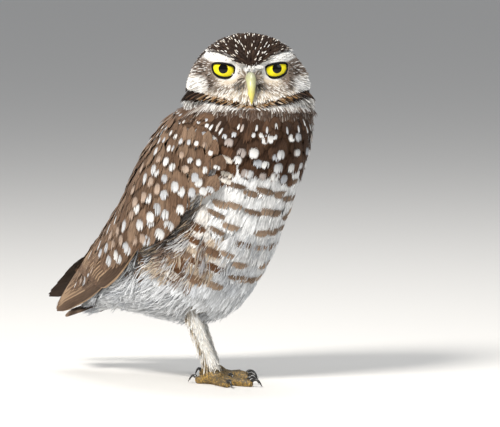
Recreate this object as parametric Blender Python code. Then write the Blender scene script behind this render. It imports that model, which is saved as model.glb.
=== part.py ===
"""Burrowing owl standing, head turned to its right: a still, life-size model.

Metres, +Z up. The body faces -Y, its left side is +X, and the floor is at z = 0.
The flesh (head, neck, torso, tail root) is modelled whole and parted by thin cuts.
Wings, legs, bill and eyes are cut clear of it, so that each meets it face to face.
"""

import math
import random

import bmesh
import bpy
from mathutils import Matrix, Vector

GAP = 0.0003
VANE_THICKNESS = 0.0006
TORSO_SEGMENTS = 22
TORSO_STEPS = 15

# The body line from neck to rump: y and z of each section's centre, its lean from the
# level, and its half sizes towards the back, the belly and the sides.
BODY_LINE = (
    (-0.004, 0.210, 0, 0.018, 0.023, 0.022),
    (-0.001, 0.197, 2, 0.031, 0.041, 0.037),
    (0.008, 0.181, 12, 0.040, 0.0532, 0.0425),
    (0.018, 0.161, 22, 0.044, 0.0575, 0.045),
    (0.029, 0.139, 31, 0.046, 0.0600, 0.046),
    (0.042, 0.117, 38, 0.046, 0.0625, 0.046),
    (0.057, 0.096, 44, 0.045, 0.0615, 0.044),
    (0.074, 0.079, 50, 0.041, 0.048, 0.039),
    (0.092, 0.067, 56, 0.030, 0.027, 0.032),
    (0.110, 0.059, 62, 0.019, 0.013, 0.023),
    (0.126, 0.052, 66, 0.008, 0.006, 0.013),
)
# The outer face of the folded wings along the same line, on to the wing tips: how far
# they stand from the line at the back and at the sides.
WING_LINE = (
    (-0.002, 0.198, 0, 0.032, 0.036),
    (0.008, 0.181, 12, 0.0425, 0.0445),
    (0.018, 0.161, 22, 0.0475, 0.0485),
    (0.029, 0.139, 31, 0.0515, 0.0510),
    (0.042, 0.117, 38, 0.0525, 0.052),
    (0.057, 0.096, 44, 0.051, 0.050),
    (0.074, 0.079, 50, 0.048, 0.046),
    (0.092, 0.067, 54, 0.042, 0.039),
    (0.110, 0.059, 56, 0.033, 0.030),
    (0.128, 0.053, 58, 0.023, 0.021),
    (0.146, 0.047, 58, 0.013, 0.013),
    (0.161, 0.041, 58, 0.005, 0.006),
)

HEAD_AT = Vector((-0.0008, 0.0011, 0.198))
HEAD_TURN = math.radians(-51.5)
HEAD_SIDE = 0.0424
HEAD_TOP = 0.0420
HEAD_CHIN = 0.0300
HEAD_FACE = 0.0290
HEAD_NAPE = 0.0360
FACE_FLATNESS = 0.80
NOSTRIL_RADIUS = 0.0009
NOSTRIL_AT = (0.0031, -0.0338, 0.0128)
NECK_TOP_Z = 0.1880
NECK_BASE_Z = 0.1720
NECK_BASE_LEAN = 12

EYE_RADIUS = 0.0098
EYE_X = 0.0169
EYE_Y = -0.0146
EYE_Z = 0.0193
EYE_OUTWARD = math.radians(8)
LID_DEPTH = 0.0012
LID_RIM = 0.0008
# The opening between the lids: half its width, its depth below the eye's centre, its
# height above it, and how much it drops towards the bill.
LID_HALF_WIDTH = 0.0077
LID_BELOW = 0.0063
LID_ABOVE = 0.0027
LID_SLOPE = 0.13

FEET = {"right": (-0.0155, 0.0195), "left": (0.0150, 0.0410)}
ANKLE_BACK = 0.0165
ANKLE_HEIGHT = 0.046
TOE_RADIUS = 0.0031
CLAW_RADIUS = 0.0015
# Each toe's name, turn outwards from straight ahead, and lengths of toe and claw.
TOES = (
    ("inner", -28, 0.0240, 0.0100),
    ("middle", -3, 0.0310, 0.0110),
    ("outer", 30, 0.0235, 0.0095),
    ("hind", 168, 0.0130, 0.0085),
)

TAIL_CUT_Y = 0.112
TAIL_FEATHERS = 12
TAIL_ROOT = Vector((0.0, 0.118, 0.0545))
TAIL_SLOPE = math.radians(21)
TAIL_LENGTH = 0.036
TAIL_FAN = math.radians(13)

PLUMAGE_BROWN = (0.20, 0.13, 0.08)
PLUMAGE_PALE = (0.78, 0.74, 0.68)


def smooth_row(table, t):
    """The table's row at t (0 to 1), by a Catmull-Rom curve through its rows."""
    at = min(max(t, 0.0), 1.0) * (len(table) - 1)
    i = min(int(at), len(table) - 2)
    f = at - i
    a, b, c, d = (table[min(max(k, 0), len(table) - 1)] for k in range(i - 1, i + 3))
    return [
        0.5 * (2 * q + (r - p) * f + (2 * p - 5 * q + 4 * r - s) * f**2 + (3 * q - p - 3 * r + s) * f**3)
        for p, q, r, s in zip(a, b, c, d)
    ]


def section_axes(lean_deg):
    """A section's direction towards the back of the bird and along the body line."""
    lean = math.radians(lean_deg)
    dorsal = Vector((0.0, math.cos(lean), math.sin(lean)))
    along = Vector((0.0, math.sin(lean), -math.cos(lean)))
    return dorsal, along


def body_point(t, angle, grow=0.0):
    """Torso surface: t runs from neck to rump, angle from the back (0) round the right side."""
    y, z, lean, back, belly, side = smooth_row(BODY_LINE, t)
    dorsal, _ = section_axes(lean)
    c, s = math.cos(angle), math.sin(angle)
    depth = (back if c > 0 else belly) + grow
    return Vector((-(side + grow) * s, y, z)) + dorsal * depth * c


def wing_point(t, angle, lift=0.0, tip_raise=0.0):
    """Outer face of the right folded wing, lifted by lift, with its tip raised by tip_raise."""
    y, z, lean, back, side = smooth_row(WING_LINE, t)
    dorsal, _ = section_axes(lean)
    c, s = math.cos(angle), math.sin(angle)
    raised = tip_raise * smoothstep((t - 0.45) / 0.55)
    belly = side * 1.28
    depth = (back if c > 0 else belly) + lift
    return Vector((-(side + lift) * s, y, z)) + dorsal * (depth * c + raised)


def smoothstep(x):
    x = min(max(x, 0.0), 1.0)
    return x * x * (3 - 2 * x)


def bump(distance, width):
    return math.exp(-((distance / width) ** 2))


def new_object(name, bm):
    bmesh.ops.recalc_face_normals(bm, faces=bm.faces[:])
    mesh = bpy.data.meshes.new(name)
    bm.to_mesh(mesh)
    bm.free()
    obj = bpy.data.objects.new(name, mesh)
    bpy.context.scene.collection.objects.link(obj)
    return obj


def copy_of(obj, name):
    made = bpy.data.objects.new(name, obj.data.copy())
    bpy.context.scene.collection.objects.link(made)
    return made


def loft(name, rings):
    """A closed body through rings of points, each bridged to the next, with flat ends."""
    bm = bmesh.new()
    loops = []
    for ring in rings:
        verts = [bm.verts.new(p) for p in ring]
        loops.append((verts, [bm.edges.new((a, b)) for a, b in zip(verts, verts[1:] + verts[:1])]))
    for (_, first), (_, second) in zip(loops, loops[1:]):
        bmesh.ops.bridge_loops(bm, edges=first + second)
    for verts, _ in (loops[0], loops[-1]):
        bm.faces.new(verts)
    bmesh.ops.triangulate(bm, faces=bm.faces[:])
    return new_object(name, bm)


def tube(name, path, across, upright, segments=10):
    """A round tube along path, with its half width and half height at each point."""
    rings = []
    for i, point in enumerate(path):
        ahead = (path[min(i + 1, len(path) - 1)] - path[max(i - 1, 0)]).normalized()
        side = ahead.cross(Vector((0, 0, 1)))
        side = side.normalized() if side.length > 1e-3 else Vector((1, 0, 0))
        up = side.cross(ahead)
        turns = [2 * math.pi * k / segments for k in range(segments)]
        rings.append([point + side * across[i] * math.cos(a) + up * upright[i] * math.sin(a) for a in turns])
    return loft(name, rings)


def ball(name, centre, radius, segments=18, rings=11):
    bm = bmesh.new()
    bmesh.ops.create_uvsphere(bm, u_segments=segments, v_segments=rings, radius=radius)
    bmesh.ops.translate(bm, verts=bm.verts[:], vec=centre)
    return new_object(name, bm)


def vane(spine, ups, half_widths, edge_rise, point_length):
    """A feather's blade: a strip along spine, with a shaft line, of even thickness."""
    bm = bmesh.new()
    rows = len(spine) - 1
    bmesh.ops.create_grid(bm, x_segments=2, y_segments=rows, size=1.0)
    for vert in bm.verts:
        side = round(vert.co.x)
        row = round((vert.co.y + 1) / 2 * rows)
        ahead = (spine[min(row + 1, rows)] - spine[max(row - 1, 0)]).normalized()
        across = ahead.cross(ups[row]).normalized()
        vert.co = spine[row] + across * half_widths[row] * side + ups[row] * edge_rise * side
        if row == rows and side == 0:
            vert.co += ahead * point_length
    bmesh.ops.triangulate(bm, faces=bm.faces[:])
    bmesh.ops.recalc_face_normals(bm, faces=bm.faces[:])
    bmesh.ops.solidify(bm, geom=bm.faces[:], thickness=VANE_THICKNESS)
    return new_object("vane", bm)


def applied(obj):
    """Replaces the object's mesh by its evaluated one and drops its modifiers."""
    graph = bpy.context.evaluated_depsgraph_get()
    made = bpy.data.meshes.new_from_object(obj.evaluated_get(graph))
    obj.modifiers.clear()
    obj.data = made
    return obj


def keep_largest(obj):
    """Drops every closed surface but the largest, such as a loose scrap or a sealed hollow."""
    bm = bmesh.new()
    bm.from_mesh(obj.data)
    left = set(bm.verts)
    groups = []
    while left:
        seed = left.pop()
        group, stack = {seed}, [seed]
        while stack:
            for edge in stack.pop().link_edges:
                for vert in edge.verts:
                    if vert in left:
                        left.remove(vert)
                        group.add(vert)
                        stack.append(vert)
        groups.append(group)
    groups.sort(key=len, reverse=True)
    for group in groups[1:]:
        bmesh.ops.delete(bm, geom=list(group), context="VERTS")
    bm.to_mesh(obj.data)
    bm.free()
    return obj


def joined(base, pieces, solver="MANIFOLD"):
    """Fuses pieces into base by one Boolean union, then removes them."""
    group = bpy.data.collections.new("pieces")
    for piece in pieces:
        group.objects.link(piece)
    union = base.modifiers.new("union", "BOOLEAN")
    union.operation, union.operand_type, union.solver = "UNION", "COLLECTION", solver
    union.collection = group
    applied(base)
    for piece in pieces:
        bpy.data.objects.remove(piece)
    bpy.data.collections.remove(group)
    return keep_largest(base)


def cut_by(obj, cutters, solver="MANIFOLD"):
    for cutter in cutters:
        cut = obj.modifiers.new("cut", "BOOLEAN")
        cut.operation, cut.solver, cut.object = "DIFFERENCE", solver, cutter
        applied(obj)
    return keep_largest(obj)


def sliced(obj, at, normal):
    """Keeps what lies against normal from the plane through at, with the cut closed."""
    bm = bmesh.new()
    bm.from_mesh(obj.data)
    everything = bm.verts[:] + bm.edges[:] + bm.faces[:]
    bmesh.ops.bisect_plane(bm, geom=everything, plane_co=at, plane_no=normal, clear_outer=True)
    open_edges = [edge for edge in bm.edges if edge.is_boundary]
    filled = bmesh.ops.holes_fill(bm, edges=open_edges)
    bmesh.ops.triangulate(bm, faces=filled["faces"])
    bmesh.ops.recalc_face_normals(bm, faces=bm.faces[:])
    bm.to_mesh(obj.data)
    bm.free()
    return obj


def painted(obj, colour, roughness=0.7):
    material = bpy.data.materials.new(obj.name)
    material.use_nodes = True
    shader = material.node_tree.nodes["Principled BSDF"]
    shader.inputs["Base Color"].default_value = (*colour, 1.0)
    shader.inputs["Roughness"].default_value = roughness
    obj.data.materials.clear()
    obj.data.materials.append(material)
    obj.data.shade_smooth()
    obj.data.set_sharp_from_angle(angle=math.radians(40))
    return obj


def removed(*objects):
    for obj in objects:
        bpy.data.objects.remove(obj)


def torso_body(name, grow=0.0):
    rings = []
    for i in range(TORSO_STEPS + 1):
        angles = [2 * math.pi * k / TORSO_SEGMENTS for k in range(TORSO_SEGMENTS)]
        rings.append([body_point(i / TORSO_STEPS, a, grow) for a in angles])
    return loft(name, rings)


def face_relief(x, z):
    """How far the face stands forward at x, z of the head's own frame: brow, hollow round
    the eye, feathers at the bill's base, cheek, and the step down to the throat."""
    side = abs(x)
    brow_z = 0.0215 + 0.25 * side
    rim_z = -0.003 + 0.007 * (side / 0.041) ** 2
    relief = 0.0034 * bump(z - brow_z, 0.0046) * bump(max(side - 0.026, 0.0), 0.008)
    relief -= 0.0022 * bump(math.hypot(side - EYE_X, z - EYE_Z + 0.003), 0.0100)
    relief += 0.0012 * bump(math.hypot(x, (z - 0.008) * 0.8), 0.0075)
    relief += 0.0020 * bump(math.hypot(side - 0.021, z - rim_z - 0.007), 0.0080)
    relief -= 0.0022 * smoothstep((rim_z - z) / 0.004)
    return relief


def head_point(d, grow=0.0):
    """Head surface in the head's own frame, for a unit direction d; the face is towards -Y.
    Round each eye the face is drawn onto the lid, which hugs the eyeball."""
    x = (HEAD_SIDE + grow) * d.x
    z = ((HEAD_TOP if d.z > 0 else HEAD_CHIN) + grow) * d.z
    if d.y >= 0:
        return Vector((x, (HEAD_NAPE + grow) * d.y, z))
    front = smoothstep(-d.y * 2.2)
    y = -(HEAD_FACE + grow) * abs(d.y) ** FACE_FLATNESS - face_relief(x, z) * front
    above = z - EYE_Z
    away = math.hypot(abs(x) - EYE_X - 0.001, above * (1.9 if above > 0 else 1.0))
    lid = EYE_RADIUS + GAP + LID_DEPTH + grow
    onto_lid = EYE_Y - math.sqrt(lid**2 - min(away, 0.0088) ** 2)
    y += (onto_lid - y) * (1 - smoothstep((away - 0.0080) / 0.0045))
    from_eye = math.hypot(abs(x) - EYE_X, above)
    if from_eye < lid:
        y = min(y, EYE_Y - math.sqrt(lid**2 - from_eye**2))
    return Vector((x, y, z))


def in_head(point):
    """Takes a point from the head's own frame to the body's."""
    return Matrix.Rotation(HEAD_TURN, 3, "Z") @ Vector(point) + HEAD_AT


def head_body(name, grow=0.0):
    """A ball with its rings level, crowded towards the face and the eyes, shaped to the head."""
    bm = bmesh.new()
    bmesh.ops.create_uvsphere(bm, u_segments=40, v_segments=24, radius=1.0)
    for vert in bm.verts:
        turn = math.atan2(vert.co.x, -vert.co.y)
        turn -= 0.42 * math.sin(turn)
        height = math.asin(max(-1.0, min(1.0, vert.co.z)))
        height += 0.30 * math.sin(2 * (height - 0.5)) * -math.cos(height) + 0.10 * math.cos(height) ** 2
        front = max(math.cos(turn), 0.0)
        height += 0.16 * abs(math.sin(turn)) * front * bump(height - 0.60, 0.45)
        d = Vector((math.sin(turn) * math.cos(height), -math.cos(turn) * math.cos(height), math.sin(height)))
        vert.co = in_head(head_point(d, grow))
    bmesh.ops.triangulate(bm, faces=bm.faces[:])
    return new_object(name, bm)


def eye_centre(side):
    return Vector((side * EYE_X, EYE_Y, EYE_Z))


def eye_axis(side):
    return Vector((side * math.sin(EYE_OUTWARD), -math.cos(EYE_OUTWARD), 0.0))


def lid_outline(side, depth, count=16):
    """Points round the opening between the lids, at a depth along the eye's axis or, with
    no depth, lying on the lid."""
    axis = eye_axis(side)
    across = axis.cross(Vector((0, 0, 1))).normalized()
    points = []
    for k in range(count):
        a = 2 * math.pi * k / count
        x = LID_HALF_WIDTH * math.cos(a)
        z = (LID_ABOVE if a < math.pi else LID_BELOW) * abs(math.sin(a)) ** 0.8
        z = (z if a < math.pi else -z) + LID_SLOPE * x * side
        on_lid = math.sqrt((EYE_RADIUS + GAP + 0.4 * LID_RIM) ** 2 - x**2 - z**2)
        points.append(in_head(eye_centre(side) + axis * (depth or on_lid) + across * x + Vector((0, 0, z))))
    return points


def lid_rim(side):
    """The bare edge of the lids, a ring round the opening."""
    path = lid_outline(side, None)
    middle = in_head(eye_centre(side))
    bm = bmesh.new()
    loops = []
    for i, point in enumerate(path):
        ahead = (path[(i + 1) % len(path)] - path[i - 1]).normalized()
        out = (point - middle).normalized()
        side_way = ahead.cross(out)
        turns = [2 * math.pi * k / 5 for k in range(5)]
        loops.append([bm.verts.new(point + (side_way * math.cos(a) + out * math.sin(a)) * LID_RIM) for a in turns])
    for first, second in zip(loops, loops[1:] + loops[:1]):
        for k in range(5):
            bm.faces.new((first[k], first[(k + 1) % 5], second[(k + 1) % 5], second[k]))
    bmesh.ops.triangulate(bm, faces=bm.faces[:])
    return new_object("rim", bm)


def bill_piece(name, path, across, upright):
    return tube(name, [in_head((0.0, y, z)) for y, z in path], across, upright, 12)


def feathered_path(root, tip, steps, surface, lift_root, lift_tip):
    """Points and outward directions of a vane from root to tip, in (t, angle) of a surface."""
    spine, ups = [], []
    for i in range(steps + 1):
        share = i / steps
        t = root[0] + (tip[0] - root[0]) * share
        angle = root[1] + (tip[1] - root[1]) * share
        low, high = surface(t, angle, 0.0), surface(t, angle, 0.001)
        along = surface(min(t + 0.004, 1.0), angle, 0.0) - surface(t - 0.004, angle, 0.0)
        around = surface(t, angle + 0.02, 0.0) - surface(t, angle - 0.02, 0.0)
        up = along.cross(around).normalized()
        up = up if up.dot(high - low) > 0 else -up
        ups.append(up)
        spine.append(low + up * (lift_root + (lift_tip - lift_root) * share))
    return spine, ups


# Tiers of the right wing, from the tip forwards: number of feathers, root and tip of the
# first and of the last as (t, angle in degrees), how far the middle ones outreach both,
# half width, and pieces along the blade.
WING_TIERS = (
    (6, (0.50, 79), (0.50, 52), (0.965, 92), (0.870, 34), 0.030, 0.0056, 4),
    (7, (0.42, 90), (0.40, 40), (0.660, 80), (0.800, 32), 0.0, 0.0066, 4),
    (3, (0.42, 32), (0.40, 15), (0.790, 24), (0.700, 10), 0.0, 0.0068, 4),
    (8, (0.31, 103), (0.30, 20), (0.490, 94), (0.580, 20), 0.0, 0.0066, 3),
    (6, (0.23, 114), (0.20, 20), (0.385, 104), (0.440, 20), 0.0, 0.0078, 3),
    (5, (0.155, 122), (0.13, 24), (0.285, 116), (0.320, 22), 0.0, 0.0084, 3),
    (3, (0.10, 100), (0.09, 38), (0.200, 106), (0.220, 38), 0.0, 0.0092, 3),
)


def wing_vanes(tip_raise):
    """The right wing's feathers, tier over tier like shingles."""
    draw = random.Random(11)
    made = []

    def surface(t, angle, lift):
        return wing_point(t, angle, lift, tip_raise)

    for count, root_a, root_b, tip_a, tip_b, outreach, half_width, steps in WING_TIERS:
        for k in range(count):
            share = k / (count - 1)
            root = [root_a[i] + (root_b[i] - root_a[i]) * share for i in (0, 1)]
            tip = [tip_a[i] + (tip_b[i] - tip_a[i]) * share for i in (0, 1)]
            tip[0] += outreach * math.sin(math.pi * share) + draw.uniform(-0.006, 0.006)
            root[1], tip[1] = math.radians(root[1]), math.radians(tip[1])
            spine, ups = feathered_path(root, tip, steps, surface, -0.0034, 0.0016)
            width = half_width * draw.uniform(0.95, 1.05)
            made.append(vane(spine, ups, blade_widths(width, steps), -0.0008, 0.30 * width))
    return made


def blade_widths(half_width, steps):
    """A vane's half widths from its narrow root to its rounded tip."""
    return [half_width * (0.30 + 0.70 * math.sin(math.pi * 0.75 * i / steps) ** 0.7) for i in range(steps)] + [0.45 * half_width]


def wing_core(tip_raise):
    """The wing's folded arm and hand under the feathers, deep enough to meet the flank."""
    rings = []
    steps, arc = 10, 7
    for i in range(steps + 1):
        share = i / steps
        t = 0.095 + (0.86 - 0.095) * share
        outer_deg = 110 + 12 * smoothstep(share * 8) - 42 * smoothstep(share * 1.3)
        inner_deg = 18 + 18 * smoothstep((share - 0.6) / 0.4)
        crest = -0.0008 - 0.0012 * smoothstep(1 - share * 7)
        depth = 0.016 - 0.0125 * smoothstep((share - 0.45) / 0.4)
        angles = [math.radians(inner_deg + (outer_deg - inner_deg) * k / arc) for k in range(arc + 1)]
        outer = [wing_point(t, a, crest, tip_raise) for a in angles]
        inner = [wing_point(t, a, -depth, tip_raise) for a in reversed(angles)]
        rings.append(outer + inner)
    return loft("core", rings)


def mirrored(obj):
    """Turns a right wing into a left one."""
    bm = bmesh.new()
    bm.from_mesh(obj.data)
    bmesh.ops.scale(bm, verts=bm.verts[:], vec=(-1, 1, 1))
    bmesh.ops.reverse_faces(bm, faces=bm.faces[:])
    bm.to_mesh(obj.data)
    bm.free()
    return obj


def wing(side, body):
    tip_raise = 0.0 if side == "right" else 0.014
    core = wing_core(tip_raise)
    joined(core, wing_vanes(tip_raise))
    core.name = f"wing_{side}"
    if side == "left":
        mirrored(core)
    return painted(cut_by(core, [body]), PLUMAGE_BROWN)


def tail_vanes():
    """Twelve tail feathers, the middle pair uppermost, folded into a narrow fan."""
    draw = random.Random(5)
    made = []
    for k in range(TAIL_FEATHERS):
        place = (k + 0.5) / TAIL_FEATHERS * 2 - 1
        fan = TAIL_FAN * place
        ahead = Vector((math.sin(fan), math.cos(fan) * math.cos(TAIL_SLOPE), -math.sin(TAIL_SLOPE)))
        up = Vector((0.28 * place, math.sin(TAIL_SLOPE), math.cos(TAIL_SLOPE))).normalized()
        root = TAIL_ROOT + Vector((0.0075 * place, 0.0, 0.0)) - up * 0.0046 * abs(place)
        length = TAIL_LENGTH * (1.0 - 0.07 * place**2) * draw.uniform(0.985, 1.015)
        spine = [root + ahead * length * i / 3 for i in range(4)]
        widths = [0.0066 * w for w in (0.50, 0.90, 1.0, 0.62)]
        rise = 0.0006 if place > 0 else -0.0006
        made.append(vane(spine, [up] * 4, widths, -rise, 0.002))
    return made


def skirt_locks():
    """Long belly and under-tail feathers as flat tapered locks round the lower body."""
    draw = random.Random(3)
    made = []
    for t_root, t_tip, count, half_width in ((0.53, 0.68, 7, 0.0070), (0.67, 0.80, 5, 0.0064)):
        for k in range(count):
            share = (k + 0.5) / count
            angle = math.radians(112 + (248 - 112) * share)
            tip_angle = angle + math.radians(draw.uniform(-5, 5))
            tip = (t_tip + draw.uniform(-0.015, 0.02), tip_angle)
            spine, ups = feathered_path((t_root, angle), tip, 3, body_point, -0.0024, 0.0030)
            widths = [half_width * w for w in (0.75, 1.0, 0.8, 0.25)]
            made.append(vane(spine, ups, widths, 0.0003, 0.003))
    return made


def heading(turn_deg, side):
    """Direction on the floor, turned outwards from straight ahead on that side."""
    turn = math.radians(turn_deg)
    outward = -1 if side == "right" else 1
    return Vector((outward * math.sin(turn), -math.cos(turn), 0.0))


def leg(side, grow=0.0):
    """Feathered lower leg: a peg up into the belly, the ankle, and the shank to the toes."""
    x, y = FEET[side]
    outward = -1 if side == "right" else 1
    ankle = Vector((x + outward * 0.002, y + ANKLE_BACK, ANKLE_HEIGHT))
    foot_at = Vector((x, y, 0.0105))
    path = [ankle + Vector((0, -0.003, 0.030 + grow)), ankle + Vector((0, 0.0, 0.010)), ankle]
    path += [ankle.lerp(foot_at, share) for share in (0.33, 0.66)]
    path += [foot_at - Vector((0, 0, grow))]
    across = [0.0062, 0.0058, 0.0052, 0.0048, 0.0044, 0.0046]
    return tube(f"leg_{side}", path, [r + grow for r in across], [r * 1.08 + grow for r in across], 10)


def toe_end(side, turn, length):
    x, y = FEET[side]
    return Vector((x, y, 0.0)) + heading(turn, side) * length


def foot(side, shank):
    """Pad and four toes, knuckled, resting on small flats at the floor."""
    x, y = FEET[side]
    along = ((0.0075, 0.0035, 0.0034), (0.0045, 0.0052, 0.0050), (-0.0005, 0.0056, 0.0056), (-0.0070, 0.0050, 0.0042))
    pad = tube(
        "pad",
        [Vector((x, y + back, high - 0.0004)) for back, _, high in along],
        [wide for _, wide, _ in along],
        [high for _, _, high in along],
        10,
    )
    toes = []
    for _, turn, length, _ in TOES:
        start, end = Vector((x, y, 0.0)), toe_end(side, turn, length)
        shares = (0.03, 0.36, 0.50, 0.74, 1.0)
        swell = (1.12, 1.12, 0.96, 1.06, 0.74)
        path = [start.lerp(end, s) + Vector((0, 0, TOE_RADIUS * w - 0.0004)) for s, w in zip(shares, swell)]
        radii = [TOE_RADIUS * w for w in swell]
        toes.append(tube("toe", path, radii, radii, 7))
    made = joined(pad, toes)
    made.name = f"foot_{side}"
    sliced(made, Vector((0, 0, 0)), Vector((0, 0, -1)))
    return painted(cut_by(made, [shank]), (0.55, 0.42, 0.16), 0.5)


def claw(side, toe, turn, length, reach):
    """A curved claw from inside the toe's end, arched and down to a point near the floor."""
    ahead = heading(turn, side)
    start = toe_end(side, turn, length) + Vector((0, 0, 0.0030)) - ahead * 0.0015
    path, radii = [], []
    for i in range(5):
        share = i / 4
        rise = 0.0030 * math.sin(math.pi * min(share * 1.05, 1.0)) - 0.0024 * share**2
        path.append(start + ahead * (reach * (share - 0.12 * share**3)) + Vector((0, 0, rise)))
        radii.append(CLAW_RADIUS * (1 - 0.82 * share**1.5))
    return tube(f"claw_{side}_{toe}", path, radii, radii, 6)


def grown(obj, amount):
    """A copy with each point moved out by amount, to cut a neighbour clear."""
    made = copy_of(obj, "grown")
    bm = bmesh.new()
    bm.from_mesh(made.data)
    bm.normal_update()
    moved = [(vert, vert.co + vert.normal * amount) for vert in bm.verts]
    for vert, place in moved:
        vert.co = place
    bm.to_mesh(made.data)
    bm.free()
    return made


def centred(objects):
    """Moves everything so that the middle of its box in plan stands over the origin."""
    points = [obj.matrix_world @ vert.co for obj in objects for vert in obj.data.vertices]
    low = [min(p[i] for p in points) for i in (0, 1)]
    high = [max(p[i] for p in points) for i in (0, 1)]
    shift = Vector((-(low[0] + high[0]) / 2, -(low[1] + high[1]) / 2, 0))
    for obj in objects:
        obj.data.transform(Matrix.Translation(shift))


def main():
    for obj in list(bpy.data.objects):
        bpy.data.objects.remove(obj)

    flesh = joined(torso_body("flesh"), [head_body("ball")])
    around = joined(torso_body("around", GAP), [head_body("ball", GAP)])

    level = Vector((0, 0, 1))
    neck_at = Vector((0, 0, NECK_TOP_Z))
    _, base_normal = section_axes(NECK_BASE_LEAN)
    base_at = Vector((0, 0.012, NECK_BASE_Z))
    _, tail_normal = section_axes(62)
    tail_at = Vector((0, TAIL_CUT_Y, 0.058))

    head = sliced(copy_of(flesh, "head"), neck_at + level * GAP / 2, -level)
    neck = sliced(copy_of(flesh, "neck"), neck_at - level * GAP / 2, level)
    sliced(neck, base_at - base_normal * GAP / 2, base_normal)
    torso = sliced(copy_of(flesh, "torso"), base_at + base_normal * GAP / 2, -base_normal)
    sliced(torso, tail_at - tail_normal * GAP / 2, tail_normal)
    tail = sliced(flesh, tail_at + tail_normal * GAP / 2, -tail_normal)

    joined(torso, skirt_locks())
    for side in ("right", "left"):
        peg = leg(side, GAP)
        cut_by(torso, [peg])
        removed(peg)
    joined(tail, tail_vanes())
    tail.name = "tail"

    openings = [loft("opening", [lid_outline(s, 0.002), lid_outline(s, 0.030)]) for s in (-1, 1)]
    cut_by(head, openings)
    joined(head, [lid_rim(s) for s in (-1, 1)])
    sockets = [ball("socket", in_head(eye_centre(s)), EYE_RADIUS + GAP) for s in (-1, 1)]
    cut_by(head, sockets)
    removed(*sockets, *openings)
    for s, name in ((-1, "eye_right"), (1, "eye_left")):
        painted(ball(name, in_head(eye_centre(s)), EYE_RADIUS), (0.85, 0.75, 0.08), 0.1)

    upper = bill_piece(
        "bill_upper",
        ((-0.022, 0.0115), (-0.030, 0.0125), (-0.0355, 0.0108), (-0.0392, 0.0060), (-0.0404, 0.0008), (-0.0394, -0.0045)),
        (0.0036, 0.0036, 0.0034, 0.0027, 0.0017, 0.0003),
        (0.0046, 0.0046, 0.0042, 0.0030, 0.0019, 0.0003),
    )
    lower = bill_piece(
        "bill_lower",
        ((-0.024, 0.0052), (-0.0300, 0.0042), (-0.0350, 0.0022), (-0.0378, -0.0010)),
        (0.0032, 0.0030, 0.0024, 0.0006),
        (0.0030, 0.0028, 0.0020, 0.0005),
    )
    face = grown(head, GAP)
    cut_by(upper, [face])
    bill_around = grown(upper, GAP)
    nostrils = [ball("nostril", in_head((s * NOSTRIL_AT[0], *NOSTRIL_AT[1:])), NOSTRIL_RADIUS, 7, 5) for s in (-1, 1)]
    cut_by(upper, nostrils)
    cut_by(lower, [face, bill_around])
    removed(face, bill_around, *nostrils)

    for side in ("right", "left"):
        wing(side, around)
        shank_around = leg(side, GAP)
        shank_around.name = "around"
        painted(leg(side), PLUMAGE_PALE)
        toes = foot(side, shank_around)
        toes_around = grown(toes, GAP)
        for toe, turn, length, reach in TOES:
            nail = cut_by(claw(side, toe, turn, length, reach), [toes_around])
            painted(nail, (0.03, 0.03, 0.03), 0.25)
        removed(shank_around, toes_around)
    removed(around)

    painted(head, PLUMAGE_BROWN)
    painted(neck, PLUMAGE_PALE)
    painted(torso, PLUMAGE_PALE)
    painted(tail, PLUMAGE_BROWN)
    painted(upper, (0.70, 0.70, 0.42), 0.35)
    painted(lower, (0.60, 0.60, 0.36), 0.35)
    centred(list(bpy.data.objects))


main()
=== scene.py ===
import math

import bmesh
import bpy
import numpy as np
from mathutils import Matrix, Vector, noise
from mathutils.kdtree import KDTree


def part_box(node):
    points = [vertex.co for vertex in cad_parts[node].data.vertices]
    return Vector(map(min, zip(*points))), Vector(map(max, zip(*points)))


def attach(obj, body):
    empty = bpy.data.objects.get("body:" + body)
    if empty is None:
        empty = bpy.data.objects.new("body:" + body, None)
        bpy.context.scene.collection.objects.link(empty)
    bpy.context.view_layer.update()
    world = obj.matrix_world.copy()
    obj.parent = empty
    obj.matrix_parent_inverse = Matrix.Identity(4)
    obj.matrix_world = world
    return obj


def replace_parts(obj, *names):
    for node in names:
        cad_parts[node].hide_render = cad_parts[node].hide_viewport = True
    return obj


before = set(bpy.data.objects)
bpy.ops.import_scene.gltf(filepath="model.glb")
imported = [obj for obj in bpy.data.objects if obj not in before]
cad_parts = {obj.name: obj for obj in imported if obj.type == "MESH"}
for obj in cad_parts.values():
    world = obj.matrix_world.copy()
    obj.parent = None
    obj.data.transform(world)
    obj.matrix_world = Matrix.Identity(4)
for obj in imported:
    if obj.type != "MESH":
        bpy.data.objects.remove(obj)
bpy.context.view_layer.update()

# A burrowing owl, life size, standing with its head turned to its right.
# Places are in metres on the bird's own frame: it faces -Y, its left is +X, the floor is z = 0.

# Sizes of the head and eyes
HEAD_AT = np.array((-0.0008, 0.0011, 0.198))
HEAD_TURN = math.radians(-51.5)
EYE_RADIUS = 0.0098
EYE_X, EYE_Y, EYE_Z = 0.0169, -0.0146, 0.0187
EYE_OUTWARD = math.radians(8)
PUPIL_RADIUS = 0.0031
IRIS_RADIUS = 0.0076
LID_HALF_WIDTH = 0.0077
LID_BELOW = 0.0061
LID_ABOVE = 0.0036
LID_SLOPE = 0.13
LID_RIM = 0.00085
LID_POINTS = 40
BILL_BASE = np.array((0.0, -0.030, 0.0120))
FOREHEAD = np.array((0.0, -0.030, 0.0215))

# Legs and toes
SIDES = ("right", "left")
FEET = {"right": (-0.0155, 0.0195), "left": (0.0150, 0.0410)}
ANKLE_BACK = 0.0165
ANKLE_HEIGHT = 0.046

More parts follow.
